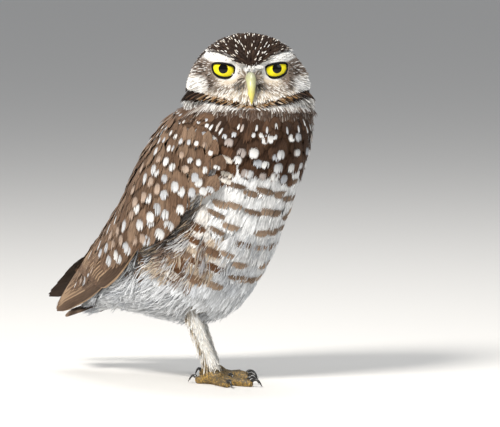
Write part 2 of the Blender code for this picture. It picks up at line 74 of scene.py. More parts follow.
# The body line from neck to rump: y and z of each section, its lean in degrees, and how far
# the tips of the coat stand from it at the back, the belly and the sides
BODY_LINE = np.array((
    (-0.004, 0.210, 0, 0.018, 0.023, 0.022),
    (-0.001, 0.197, 2, 0.031, 0.041, 0.037),
    (0.008, 0.181, 12, 0.040, 0.0532, 0.0425),
    (0.018, 0.161, 22, 0.044, 0.0575, 0.045),
    (0.029, 0.139, 31, 0.046, 0.0600, 0.046),
    (0.042, 0.117, 38, 0.046, 0.0625, 0.046),
    (0.057, 0.096, 44, 0.045, 0.0615, 0.044),
    (0.074, 0.079, 50, 0.041, 0.048, 0.039),
    (0.092, 0.067, 56, 0.030, 0.027, 0.032),
    (0.110, 0.059, 62, 0.019, 0.013, 0.023),
    (0.126, 0.052, 66, 0.008, 0.006, 0.013),
))
# The outer face of the folded wings along the same line, out to their tips
WING_LINE = np.array((
    (-0.002, 0.198, 0, 0.032, 0.036),
    (0.008, 0.181, 12, 0.0425, 0.0445),
    (0.018, 0.161, 22, 0.0475, 0.0485),
    (0.029, 0.139, 31, 0.0515, 0.0510),
    (0.042, 0.117, 38, 0.0525, 0.052),
    (0.057, 0.096, 44, 0.051, 0.050),
    (0.074, 0.079, 50, 0.048, 0.046),
    (0.092, 0.067, 54, 0.042, 0.039),
    (0.110, 0.059, 56, 0.033, 0.030),
    (0.128, 0.053, 58, 0.023, 0.021),
    (0.146, 0.047, 58, 0.013, 0.013),
    (0.161, 0.041, 58, 0.005, 0.006),
))
WING_TIP_RAISE = {"right": 0.0, "left": 0.0140}
WING_TIP_REACH = {"right": 0.0, "left": 0.011}
TAIL_ROOT = np.array((0.0, 0.112, 0.0565))
TAIL_SLOPE = math.radians(21)
TAIL_LENGTH = 0.042
TAIL_FAN = math.radians(13)
# How far it is along each of the two lines from end to end
BODY_LINE_LENGTH = 0.21
WING_LINE_LENGTH = 0.235
# Twice the radius of the curve that the body and the wing follow, so that feathers lie along it
BODY_BEND = 0.24
WING_BEND = 0.28

# Edge of the cubes that fuse each skin, and how often it is smoothed
SKIN_VOXEL, SKIN_ROUNDS = 0.0011, 4
TOE_VOXEL, TOE_ROUNDS = 0.0005, 14
# Each feather's square on the bake map, as a share of the map
HAIR_CELL = 0.003
CONTOUR_CELL = 0.006
COVERT_CELL = 0.012
FLIGHT_CELL = 0.03
TAIL_CELL = 0.05
# Thickness of stiff vanes, of the blades of a soft feather, and of bristles
VANE_THICKNESS = 0.00030
BLADE_THICKNESS = 0.00008
BRISTLE_THICKNESS = 0.00012
# How far the roots and tips of stiff vanes stand from the wing's face
VANE_ROOT_LIFT, VANE_TIP_LIFT = -0.0034, 0.0004
# Where the head's coat gives way to the body's
HEAD_COAT_FOOT = 0.1865
# A millimetre in metres, for the scales of patterns
MM = 0.001
# Scales and darker blotches of the toes' skin
SCALES_PER_MM = 0.78
SCALE_HEIGHT = 0.00022
BLOTCHES_PER_MM = 0.64

# Plumage colours
CROWN = "#281b13"
NAPE = "#4a382a"
WHITE = "#eceae6"
CREAM = "#d2c4b0"
FACE_GREY = "#958878"
EAR_BROWN = "#716257"
EAR_DARK = "#3b3029"
LORE = "#2c2620"
COLLAR_DARK = "#1d130d"
COLLAR_TAN = "#987650"
BREAST = "#573f2e"
BREAST_DARK = "#2f1f14"
WING_BROWN = "#735a47"
WING_DARK = "#4f3a2a"
WING_PALE = "#8d7560"
SPOT_BUFF = "#a5876d"
BAR_TAN = "#9c8570"
BAR_DARK = "#5c4838"
FLANK_RUFOUS = "#603f26"
FLANK_GOLD = "#b7a084"
BELLY_WHITE = "#e9e8e6"
DOWN_WHITE = "#dcdee0"
# Grey of the down, also used as painted shade on white down and pale spots
GREY_DOWN_AND_SHADE = "#a9adb4"
# Darkest brown of the flight feathers, also used as painted shade by the wing's lower edge and on the far
# wing's tip
FLIGHT_DARK_AND_SHADE = "#211913"
FLIGHT_EDGE = "#a98d70"
SHANK_WHITE = "#f0eee8"
SHANK_TAN = "#a89066"
SHANK_GREY = "#6a6258"
TOE_OCHRE = "#b58f42"
TOE_DARK = "#3f382b"


def linear(hex_colour):
    """A colour's linear red, green and blue from its sRGB hex value."""
    parts = [int(hex_colour[i : i + 2], 16) / 255 for i in (1, 3, 5)]
    return np.array([p / 12.92 if p <= 0.04045 else ((p + 0.055) / 1.055) ** 2.4 for p in parts])


def smooth(x):
    x = np.clip(x, 0.0, 1.0)
    return x * x * (3 - 2 * x)


def rise_to(x, edge, width):
    """0 below an edge and 1 above it, changing over a width."""
    return smooth((x - edge) / width + 0.5)


def unit(v):
    return v / np.maximum(np.linalg.norm(v, axis=-1, keepdims=True), 1e-12)


def stacked(*columns):
    return np.stack(np.broadcast_arrays(*columns), axis=-1).astype(float)


def along_surface(direction, normals):
    """The part of each direction that lies in the surface, as a unit vector."""
    return unit(direction - normals * np.sum(direction * normals, axis=-1, keepdims=True))


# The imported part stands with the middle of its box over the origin, so its eyes give the shift
head_axes = np.array(Matrix.Rotation(HEAD_TURN, 3, "Z"))
eye_corners = np.array([corner for name in ("eye_left", "eye_right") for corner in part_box(name)])
PLACE = eye_corners.mean(0) - (HEAD_AT + head_axes @ np.array((0.0, EYE_Y, EYE_Z)))
PLACE[2] = 0.0


def in_head(points):
    """Takes points from the bird's frame to the head's own, where the face is towards -Y."""
    return (points - HEAD_AT) @ head_axes


def from_head(points):
    return np.asarray(points, float) @ head_axes.T + HEAD_AT


# Surfaces of the body and the folded wings
def line_rows(table, t):
    """The table's row at each t (0 to 1), by a Catmull-Rom curve through its rows."""
    last = len(table) - 1
    at = np.clip(t, 0.0, 1.0) * last
    i = np.minimum(at.astype(int), last - 1)
    f = (at - i)[..., None]
    a, b, c, d = (table[np.clip(i + k, 0, last)] for k in (-1, 0, 1, 2))
    return 0.5 * (2 * b + (c - a) * f + (2 * a - 5 * b + 4 * c - d) * f**2 + (3 * b - a - 3 * c + d) * f**3)


def section_point(y, z, lean, side, depth):
    lean = np.radians(lean)
    return np.stack((-side, y + np.cos(lean) * depth, z + np.sin(lean) * depth), axis=-1)


def body_surface(t, angle, grow=0.0):
    """The coat's outer face: t from neck to rump, angle from the back (0) round the right side."""
    y, z, lean, back, belly, side = np.moveaxis(line_rows(BODY_LINE, t), -1, 0)
    c, s = np.cos(angle), np.sin(angle)
    return section_point(y, z, lean, (side + grow) * s, (np.where(c > 0, back, belly) + grow) * c)


def wing_surface(side_name):
    """The outer face of that side's folded wing, as a function of t, angle and lift."""
    raise_by, reach_by = WING_TIP_RAISE[side_name], WING_TIP_REACH[side_name]
    flip = 1.0 if side_name == "right" else -1.0
    slope = unit(line_rows(WING_LINE, np.array(1.0))[:2] - line_rows(WING_LINE, np.array(0.9))[:2])

    def surface(t, angle, lift=0.0):
        y, z, lean, back, side = np.moveaxis(line_rows(WING_LINE, t), -1, 0)
        c, s = np.cos(angle), np.sin(angle)
        depth = (np.where(c > 0, back, side * 1.28) + lift) * c + raise_by * smooth((t - 0.45) / 0.55)
        reach = reach_by * smooth((t - 0.6) / 0.4)
        across = (side + lift) * s * flip
        return section_point(y + slope[0] * reach, z + slope[1] * reach, lean, across, depth)

    return surface


def surface_frame(surface, t, angle):
    """Points of a surface with their outward directions and their directions towards the tail."""
    here = surface(t, angle)
    ahead = unit(surface(np.minimum(t + 0.004, 1.0), angle) - surface(t - 0.004, angle))
    around = surface(t, angle + 0.02) - surface(t, angle - 0.02)
    out = unit(np.cross(ahead, around))
    outward = np.sum(out * (surface(t, angle, 0.001) - here), axis=-1, keepdims=True)
    return here, out * np.where(outward < 0, -1.0, 1.0), ahead


# Mesh making
def add_object(name, data):
    obj = bpy.data.objects.new(name, data)
    bpy.context.scene.collection.objects.link(obj)
    return obj


def mesh_from(bm, name):
    """Turns a bmesh into a mesh, and frees it."""
    mesh = bpy.data.meshes.new(name)
    bm.to_mesh(mesh)
    bm.free()
    return mesh


def piece_from(bm, name):
    """Makes a piece from a bmesh in the bird's frame, and lets it ride on the body."""
    bmesh.ops.transform(bm, matrix=Matrix.Translation(PLACE), verts=bm.verts[:])
    obj = add_object(name, mesh_from(bm, name))
    obj.data.shade_smooth()
    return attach(obj, "root")


def set_colours(mesh, name, colours):
    """Stores a colour, or four numbers, at each of a mesh's points."""
    if colours.shape[1] == 3:
        colours = np.concatenate((colours, np.ones((len(colours), 1))), axis=1)
    layer = mesh.color_attributes.new(name, "FLOAT_COLOR", "POINT")
    layer.data.foreach_set("color", colours.astype(np.float32).ravel())


def add_node_copy(bm, name):
    """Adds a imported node's mesh, with its corners merged, to a bmesh in the bird's frame."""
    part = bmesh.new()
    part.from_mesh(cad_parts[name].data)
    bmesh.ops.remove_doubles(part, verts=part.verts[:], dist=1e-6)
    bmesh.ops.translate(part, verts=part.verts[:], vec=-Vector(PLACE))
    mesh = mesh_from(part, "part")
    bm.from_mesh(mesh)
    bpy.data.meshes.remove(mesh)


def add_loft(bm, rings, closed_ring=False):
    """Bridges rings of points one after another, and closes the ends or joins last to first."""
    loops = []
    for ring in rings:
        verts = [bm.verts.new(p) for p in ring]
        loops.append([bm.edges.new((a, b)) for a, b in zip(verts, verts[1:] + verts[:1])])
    following = loops[1:] + loops[:1] if closed_ring else loops[1:]
    for first, second in zip(loops, following):
        bmesh.ops.bridge_loops(bm, edges=first + second)
    if not closed_ring:
        for loop in (loops[0], loops[-1]):
            bmesh.ops.contextual_create(bm, geom=loop)


def remeshed(bm, voxel, rounds):
    """Fuses everything in a bmesh into one closed skin of even small faces, and smooths it."""
    source = add_object("source", mesh_from(bm, "source"))
    fuse = source.modifiers.new("fuse", "REMESH")
    fuse.mode = "VOXEL"
    fuse.voxel_size = voxel
    soften = source.modifiers.new("soften", "SMOOTH")
    soften.factor = 0.5
    soften.iterations = rounds
    graph = bpy.context.evaluated_depsgraph_get()
    made = bmesh.new()
    made.from_mesh(source.evaluated_get(graph).to_mesh())
    bpy.data.objects.remove(source)
    return made


def vertex_arrays(bm):
    bm.normal_update()
    points = np.array([v.co for v in bm.verts])
    normals = np.array([v.normal for v in bm.verts])
    return points, normals


def set_points(bm, points):
    for vert, place in zip(bm.verts, points):
        vert.co = place


# The skin: one closed surface under the whole coat
WING_REACH = (0.095, 0.86)


def wing_edges(t):
    """The angles of a folded wing's front and back edge at t, in degrees."""
    share = (t - WING_REACH[0]) / (WING_REACH[1] - WING_REACH[0])
    front = 110 + 12 * smooth(share * 8) - 42 * smooth(share * 1.3)
    return front, 18 + 18 * smooth((share - 0.6) / 0.4)


def build_skin():
    """Fuses head, legs, body and wings, and sinks the skin by the depth of the coat."""
    bm = bmesh.new()
    for name in ("head", "leg_right", "leg_left"):
        add_node_copy(bm, name)
    for s in (-1, 1):
        middle = from_head((s * EYE_X, EYE_Y, EYE_Z))
        ball = bmesh.ops.create_uvsphere(bm, u_segments=24, v_segments=16, radius=EYE_RADIUS + 0.0004)
        bmesh.ops.translate(bm, verts=ball["verts"], vec=middle)
    turns = np.arange(40) * 2 * math.pi / 40
    add_loft(bm, [body_surface(np.full(40, t), turns) for t in np.linspace(0.04, 1.0, 34)])
    for side_name in SIDES:
        surface = wing_surface(side_name)
        rings = []
        for t in np.linspace(WING_REACH[0] + 0.02, WING_REACH[1], 18):
            front, back = wing_edges(t)
            angles = np.radians(np.linspace(back, front - 4, 9))
            depth = 0.015 - 0.0105 * smooth((t - 0.42) / 0.32)
            outer = surface(np.full(9, t), angles, -0.0012)
            rings.append(np.concatenate((outer, surface(np.full(9, t), angles[::-1], -depth))))
        add_loft(bm, rings)
    bmesh.ops.recalc_face_normals(bm, faces=bm.faces[:])
    skin = remeshed(bm, SKIN_VOXEL, SKIN_ROUNDS)
    points, normals = vertex_arrays(skin)
    points = points - normals * coat_depth(points)[:, None]
    set_points(skin, open_lids(points))
    return skin


def coat_depth(points):
    """How deep the skin lies under the tips of the coat."""
    q = in_head(points)
    head = 0.0022 - 0.0014 * smooth((-q[:, 1] - 0.004) / 0.010) * smooth((q[:, 2] + 0.004) / 0.004)
    on_leg = smooth((0.060 - points[:, 2]) / 0.008)
    behind = smooth((points[:, 1] - 0.070) / 0.030)
    body = 0.0030 - 0.0020 * np.maximum(on_leg, behind)
    return body + (head - body) * smooth((points[:, 2] - 0.186) / 0.006)


def lid_height(x, above):
    """Half height of the opening between the lids at x from its middle."""
    round_off = np.sqrt(np.clip(1 - (x / LID_HALF_WIDTH) ** 2, 0.0, 1.0))
    return np.where(above, LID_ABOVE * round_off**0.6, LID_BELOW * round_off**0.8)


def open_lids(points):
    """Sinks the skin behind each eyeball inside the opening between its lids."""
    q = in_head(points)
    for s in (-1, 1):
        away = q - np.array((s * EYE_X, EYE_Y, EYE_Z))
        turn = s * EYE_OUTWARD
        x = away[:, 0] * math.cos(turn) + away[:, 1] * math.sin(turn)
        z = away[:, 2] + LID_SLOPE * -x * s
        reach = np.linalg.norm(away, axis=1)
        inside = 1 - smooth((np.abs(z) / np.maximum(lid_height(x, z > 0), 1e-5) - 0.85) / 0.45)
        inside *= (np.abs(x) < LID_HALF_WIDTH * 1.04) & (away[:, 1] < 0) & (reach < 0.014)
        sunk = np.minimum(reach, reach + (0.0083 - reach) * inside)
        q = q + away * (sunk / np.maximum(reach, 1e-9) - 1)[:, None]
    return from_head(q)


# Where the coat grows and how it lies
def coat_lie(points, normals):
    """The way the coat lies: from bill and eyes outwards, over the crown, and down the body."""
    q = in_head(points)
    head_normals = normals @ head_axes
    outward = np.sign(q[:, 0])
    none = np.zeros(len(q))
    eye = np.stack((outward * EYE_X, none + EYE_Y, none + EYE_Z), axis=-1)
    radiating = unit(q - eye) * 0.8 + unit(q - BILL_BASE) * 1.1
    over_crown = unit(q - FOREHEAD)
    along_rim = unit(np.stack((outward * 0.9, none, none - 0.42), axis=-1))
    drop = face_rim(np.abs(q[:, 0])) - q[:, 2]
    hanging = unit(np.stack((outward * 0.35, none + 0.1, none - 0.9), axis=-1))
    of_head = over_crown + (radiating - over_crown) * on_face(q)[:, None]
    front = rise_to(-q[:, 1], -0.010, 0.008)
    of_head = of_head + (along_rim - of_head) * (rise_to(drop, -0.0008, 0.0015) * front)[:, None]
    of_head = of_head + (hanging - of_head) * (rise_to(drop, 0.0034, 0.0020) * front)[:, None]
    of_head = along_surface(of_head, head_normals) @ head_axes.T
    lean = np.radians(np.interp(-points[:, 2], -BODY_LINE[:, 1], BODY_LINE[:, 2]))
    down = np.stack((none, np.sin(lean), -np.cos(lean)), axis=-1)
    shank = unit(np.array((0.0, -ANKLE_BACK, -ANKLE_HEIGHT)))
    down = down + (shank - down) * smooth((0.062 - points[:, 2]) / 0.006)[:, None]
    of_body = along_surface(down, normals)
    share = smooth((points[:, 2] - 0.187) / 0.008)[:, None]
    return along_surface(of_body + (of_head - of_body) * share, normals)


def brow_top(side):
    """The crown's lower edge at each side distance: a dip between the eyes, high over the brows."""
    at = (0, 0.004, 0.007, 0.0105, 0.014, 0.0185, 0.023, 0.028, 0.032, 0.042)
    height = (0.0198, 0.0204, 0.0222, 0.0245, 0.0265, 0.0283, 0.0293, 0.0298, 0.0290, 0.026)
    return np.interp(side, at, height)


def brow_bottom(side):
    """The lower edge of the white brow."""
    at = (0, 0.006, 0.010, 0.014, 0.020, 0.027, 0.032, 0.036)
    return np.interp(side, at, (0.0160, 0.0180, 0.0203, 0.0222, 0.0228, 0.0236, 0.0252, 0.0268))


def face_rim(side):
    """The lower edge of the face."""
    at = (0, 0.008, 0.017, 0.025, 0.031, 0.041)
    return np.interp(side, at, (-0.0042, -0.0030, -0.0008, 0.0010, 0.0024, 0.0042))


def on_face(q):
    """1 on the face in the head's own frame, 0 on crown, nape and neck."""
    side = np.abs(q[:, 0])
    front = rise_to(-q[:, 1], 0.001, 0.006)
    under_brow = rise_to(brow_top(side) - q[:, 2], 0.0, 0.0012)
    return front * under_brow * rise_to(q[:, 2] - face_rim(side), 0.0, 0.0012)


def scatter(skin, spacing_of, seed):
    """Random places on the skin, with their outward directions, that stand no nearer to each
    other than spacing_of says."""
    rng = np.random.default_rng(seed)
    points, normals, tris = skin
    corners = points[tris]
    area = np.linalg.norm(np.cross(corners[:, 1] - corners[:, 0], corners[:, 2] - corners[:, 0]), axis=1) / 2
    spacing = spacing_of(corners.mean(1))
    wanted = np.where(spacing > 0, 3.5 * area / np.maximum(spacing, 1e-5) ** 2, 0.0)
    index = np.repeat(np.arange(len(tris)), rng.poisson(wanted))
    rng.shuffle(index)
    a, b = rng.random(len(index)), rng.random(len(index))
    a, b = np.where(a + b > 1, 1 - a, a), np.where(a + b > 1, 1 - b, b)
    weights = np.stack((1 - a - b, a, b), axis=-1)[:, :, None]
    places = (corners[index] * weights).sum(1)
    outward = unit((normals[tris[index]] * weights).sum(1))
    tree = KDTree(len(places))
    for i, place in enumerate(places):
        tree.insert(place, i)
    tree.balance()
    free = np.ones(len(places), bool)
    kept = []
    for i, place in enumerate(places):
        if free[i]:
            kept.append(i)
            for _, j, _ in tree.find_range(place, spacing[index[i]]):
                free[j] = False
    return places[kept], outward[kept]


# Feather building
# What each feather carries: its ground and mark colours; a spot's place across from the shaft,
# half width, place along and half length; its bars' number, place, strength and thickness
PAINT_KEYS = ("ground", "mark", "spot", "bars")
# A cross-section is a ring of points: how far across, how high, as shares of half width and thickness
LOCK_RING = ((-1.0, -0.4), (0.0, 1.0), (1.0, -0.4))
VANE_RING = ((-1.0, 0.0), (-0.5, 0.8), (0.0, 1.2), (0.5, 0.8), (1.0, 0.0), (0.0, -0.8))


def bake_cells(points, cell):
    """A free square of the bake map for each root, near its place on an unwrap of the skin
    round the upright axis."""
    count = int(1 / cell)
    turn = np.arctan2(points[:, 0], -(points[:, 1] - 0.03)) / (2 * math.pi) + 0.5
    rise = np.clip((points[:, 2] + 0.45 * np.abs(points[:, 1])) / 0.262, 0.0, 0.999)
    wanted = np.stack((turn, rise), axis=-1) * (count - 1)
    used = set()
    cells = []
    steps = [(0, 0)]
    for r in range(1, 60):
        span = range(-r, r + 1)
        steps += [(dx, dy) for dx in span for dy in span if max(abs(dx), abs(dy)) == r]
    for x, y in wanted.astype(int):
        for dx, dy in steps:
            at = (min(max(x + dx, 0), count - 1), min(max(y + dy, 0), count - 1))
            if at not in used:
                used.add(at)
                cells.append(at)
                break
        else:
            cells.append((x, y))
    return np.array(cells) / count


def feather_mesh(name, spines, ups, half_widths, thickness, ring, shape, paint, cell):
    """Joins many tapered blades into one piece.
    spines and ups have count by rows points, and half_widths as many widths. shape gives the
    seed, camber, roll, sweep and raggedness, and each blade's place and reach in its feather.
    paint gives its colours."""
    count, rows, _ = spines.shape
    ring = np.array(ring)
    sides = len(ring)
    ahead = unit(np.gradient(spines, axis=1))
    across = unit(np.cross(ahead, ups))
    rng = np.random.default_rng(shape["seed"])
    a, h = ring[:, 0], ring[:, 1]
    jag = 1 - shape.get("ragged", 0.0) * rng.random((count, rows, sides)) * np.abs(a)
    half = half_widths[:, :, None] * a * jag
    fullness = np.minimum(half_widths / half_widths.max(1, keepdims=True) + 0.25, 1.0)
    thick = (thickness * fullness)[:, :, None] * h
    wide = half_widths[:, :, None]
    rise = thick - shape.get("camber", 0.0) * wide * a**2 + shape.get("roll", 0.0) * half
    uneven = 0.6 + 0.8 * rng.random((count, rows, sides))
    sweep = shape.get("sweep", 0.0) * wide * np.abs(a) * uneven
    body = (
        spines[:, :, None]
        + across[:, :, None] * half[..., None]
        + ups[:, :, None] * rise[..., None]
        + ahead[:, :, None] * sweep[..., None]
    )
    per = 2 + sides * (rows - 2)
    co = np.concatenate((spines[:, :1], body[:, 1:-1].reshape(count, -1, 3), spines[:, -1:]), axis=1)
    centre = shape.get("centre", stacked(np.full((count, 1), 0.5), np.linspace(0, 1, rows)))
    reach = shape.get("reach", np.full((count, rows), 0.5))
    uv_body = centre[:, :, None] + stacked(reach[:, :, None] * a * jag, 0.0)
    uv = np.concatenate((centre[:, :1], uv_body[:, 1:-1].reshape(count, -1, 2), centre[:, -1:]), axis=1)
    uv = uv.reshape(-1, 2)

    tris = []
    for k in range(sides):
        n = (k + 1) % sides
        tris.append((0, 1 + n, 1 + k))
        for j in range(rows - 3):
            low, high = 1 + j * sides, 1 + (j + 1) * sides
            tris += [(low + k, low + n, high + n), (low + k, high + n, high + k)]
        last = 1 + (rows - 3) * sides
        tris.append((last + k, last + n, per - 1))
    tris = np.array(tris)
    p = co[0][tris] - co[0].mean(0)
    if np.einsum("ij,ij->i", p[:, 0], np.cross(p[:, 1], p[:, 2])).sum() < 0:
        tris = tris[:, ::-1]
    faces = (tris[None] + (np.arange(count) * per)[:, None, None]).reshape(-1, 3)

    mesh = bpy.data.meshes.new(name)
    mesh.vertices.add(count * per)
    mesh.vertices.foreach_set("co", (co.reshape(-1, 3) + PLACE).astype(np.float32).ravel())
    mesh.loops.add(faces.size)
    mesh.loops.foreach_set("vertex_index", faces.astype(np.int32).ravel())
    mesh.polygons.add(len(faces))
    mesh.polygons.foreach_set("loop_start", np.arange(0, faces.size, 3, dtype=np.int32))
    mesh.update(calc_edges=True)
    bake = np.repeat(paint["cells"], per, axis=0) + np.clip(uv, 0, 1) * cell * 0.92
    for layer_name, places in (("vane", uv), ("OFBake", bake)):
        layer = mesh.uv_layers.new(name=layer_name)
        layer.data.foreach_set("uv", places[faces.ravel()].astype(np.float32).ravel())
    for key in PAINT_KEYS:
        set_colours(mesh, key, np.repeat(paint[key], per, axis=0))
    mesh.shade_smooth()
    mesh.set_sharp_from_angle(angle=math.radians(65))
    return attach(add_object(name, mesh), "root")


def bent_spines(roots, ahead, up, length, lift, curl, stations):
    """Blades that leave the skin at a slope of lift and bend back towards it by curl."""
    v = np.asarray(stations)[None, :, None]
    length, lift, curl = (np.asarray(x)[:, None, None] for x in (length, lift, curl))
    spines = roots[:, None] + length * (ahead[:, None] * v + up[:, None] * (lift * v - curl * v**2))
    slope = lift - 2 * curl * v
    return spines, unit(up[:, None] - ahead[:, None] * slope)


def varied(colours, rng, amount):
    return np.clip(colours * (1 + amount * (rng.random((len(colours), 1)) * 2 - 1)), 0, 1)


def locks(name, roots, ahead, up, length, half_width, lift, curl, paint, seed, thickness):
    """Small single feathers, each one narrow tapered lock."""
    rng = np.random.default_rng(seed)
    stations = (0.0, 0.22, 0.60, 0.86, 1.0)
    spines, ups = bent_spines(roots, ahead, up, length, lift, curl, stations)
    widths = np.asarray(half_width)[:, None] * np.array((0.3, 0.75, 1.0, 0.72, 0.1))
    turn = rng.normal(0, 0.18, len(roots))[:, None, None]
    ups = unit(ups + np.cross(ahead, up)[:, None] * turn)
    shape = {"seed": seed, "centre": stacked(np.full((len(roots), 1), 0.5), stations)}
    return feather_mesh(name, spines, ups, widths, thickness, LOCK_RING, shape, paint, HAIR_CELL)


def fanned(name, roots, ahead, up, length, half_width, lift, curl, paint, seed, blades, cell):
    """Soft contour feathers: each a fan of barbed blades that share one feather's markings."""
    rng = np.random.default_rng(seed)
    count = len(roots)
    stations = np.array((0.0, 0.30, 0.62, 0.86, 1.0))
    place = (np.arange(blades) / (blades - 1) * 2 - 1)[None, :] + rng.normal(0, 0.05, (count, blades))
    reach = (1 - 0.26 * place**2) * (1 + rng.normal(0, 0.065, (count, blades)))
    v = reach[:, :, None] * stations
    x = place[:, :, None] * np.sin(np.clip(stations * 1.25, 0, 1) * math.pi / 2) ** 0.9
    sizes = (length, half_width, lift, curl)
    length, half_width, lift, curl = (np.asarray(k)[:, None, None, None] for k in sizes)
    roots, ahead, up, side = (k[:, None, None] for k in (roots, ahead, up, np.cross(ahead, up)))
    lane, beside = v[..., None], x[..., None]
    drop = 0.16 * half_width * beside**2 + 0.00005 * rng.normal(0, 1, (count, blades, 1, 1))
    rise = length * (lift * lane - curl * lane**2) - drop
    spines = roots + ahead * length * lane + side * half_width * beside + up * rise
    ups = unit(up - ahead * (lift - 2 * curl * lane) + side * 0.32 * beside)
    blade_share = 1.8 / blades
    blade_half = half_width[..., 0] * blade_share * np.array((0.3, 0.85, 1.0, 0.8, 0.1))

    def each(k):
        """One row for each blade."""
        return k.reshape(count * blades, *k.shape[2:])

    shape = {"seed": seed, "centre": each(np.stack((0.5 + 0.5 * x, v), axis=-1))}
    shape["reach"] = np.full((count * blades, len(stations)), 0.5 * blade_share)
    spread = {k: np.repeat(paint[k], blades, axis=0) for k in (*PAINT_KEYS, "cells")}
    spread["ground"] = varied(spread["ground"], rng, 0.14)
    spread["mark"] = varied(spread["mark"], rng, 0.07)
    widths = each(np.broadcast_to(blade_half, v.shape))
    spines, ups = each(spines), each(ups)
    return feather_mesh(name, spines, ups, widths, BLADE_THICKNESS, LOCK_RING, shape, spread, cell)


def vanes(name, surface, roots, tips, half_width, paint, shape):
    """Stiff feathers that follow a surface from root to tip, each given as (t, angle)."""
    share = np.linspace(0, 1, 14)[None, :]
    t = roots[:, :1] + (tips[:, :1] - roots[:, :1]) * share
    angle = roots[:, 1:] + (tips[:, 1:] - roots[:, 1:]) * share
    here, out, _ = surface_frame(surface, t, angle)
    lift = VANE_ROOT_LIFT + (VANE_TIP_LIFT - VANE_ROOT_LIFT) * share**0.8
    spines = here + out * lift[..., None]
    taper = np.minimum(0.35 + 1.1 * share, 1.0) * np.clip((1 - share) / 0.16, 0.0, 1.0) ** 0.6
    half = np.asarray(half_width)[:, None] * np.maximum(taper, 0.04)
    return feather_mesh(name, spines, out, half, VANE_THICKNESS, VANE_RING, shape, paint, FLIGHT_CELL)


# Materials
def feed(made, inputs):
    """Sets each input of a node, or links it to a socket or to another node's first output."""
    for socket, value in dict(inputs).items():
        if isinstance(value, bpy.types.Node):
            value = value.outputs[0]
        if isinstance(value, bpy.types.NodeSocket):
            made.id_data.links.new(value, made.inputs[socket])
        else:
            made.inputs[socket].default_value = value


def node(tree, kind, inputs=(), **settings):
    """Adds a node with its settings and links."""
    made = tree.nodes.new("ShaderNode" + kind)
    for key, value in settings.items():
        setattr(made, key, value)
    feed(made, inputs)
    return made


def material(name, inputs):
    """A material, its node tree and its shader, which is given its own values."""
    made = bpy.data.materials.new(name)
    made.use_nodes = True
    shader = made.node_tree.nodes["Principled BSDF"]
    feed(shader, inputs)
    return made, made.node_tree, shader


def rgba(hex_colour):
    return (*linear(hex_colour), 1.0)


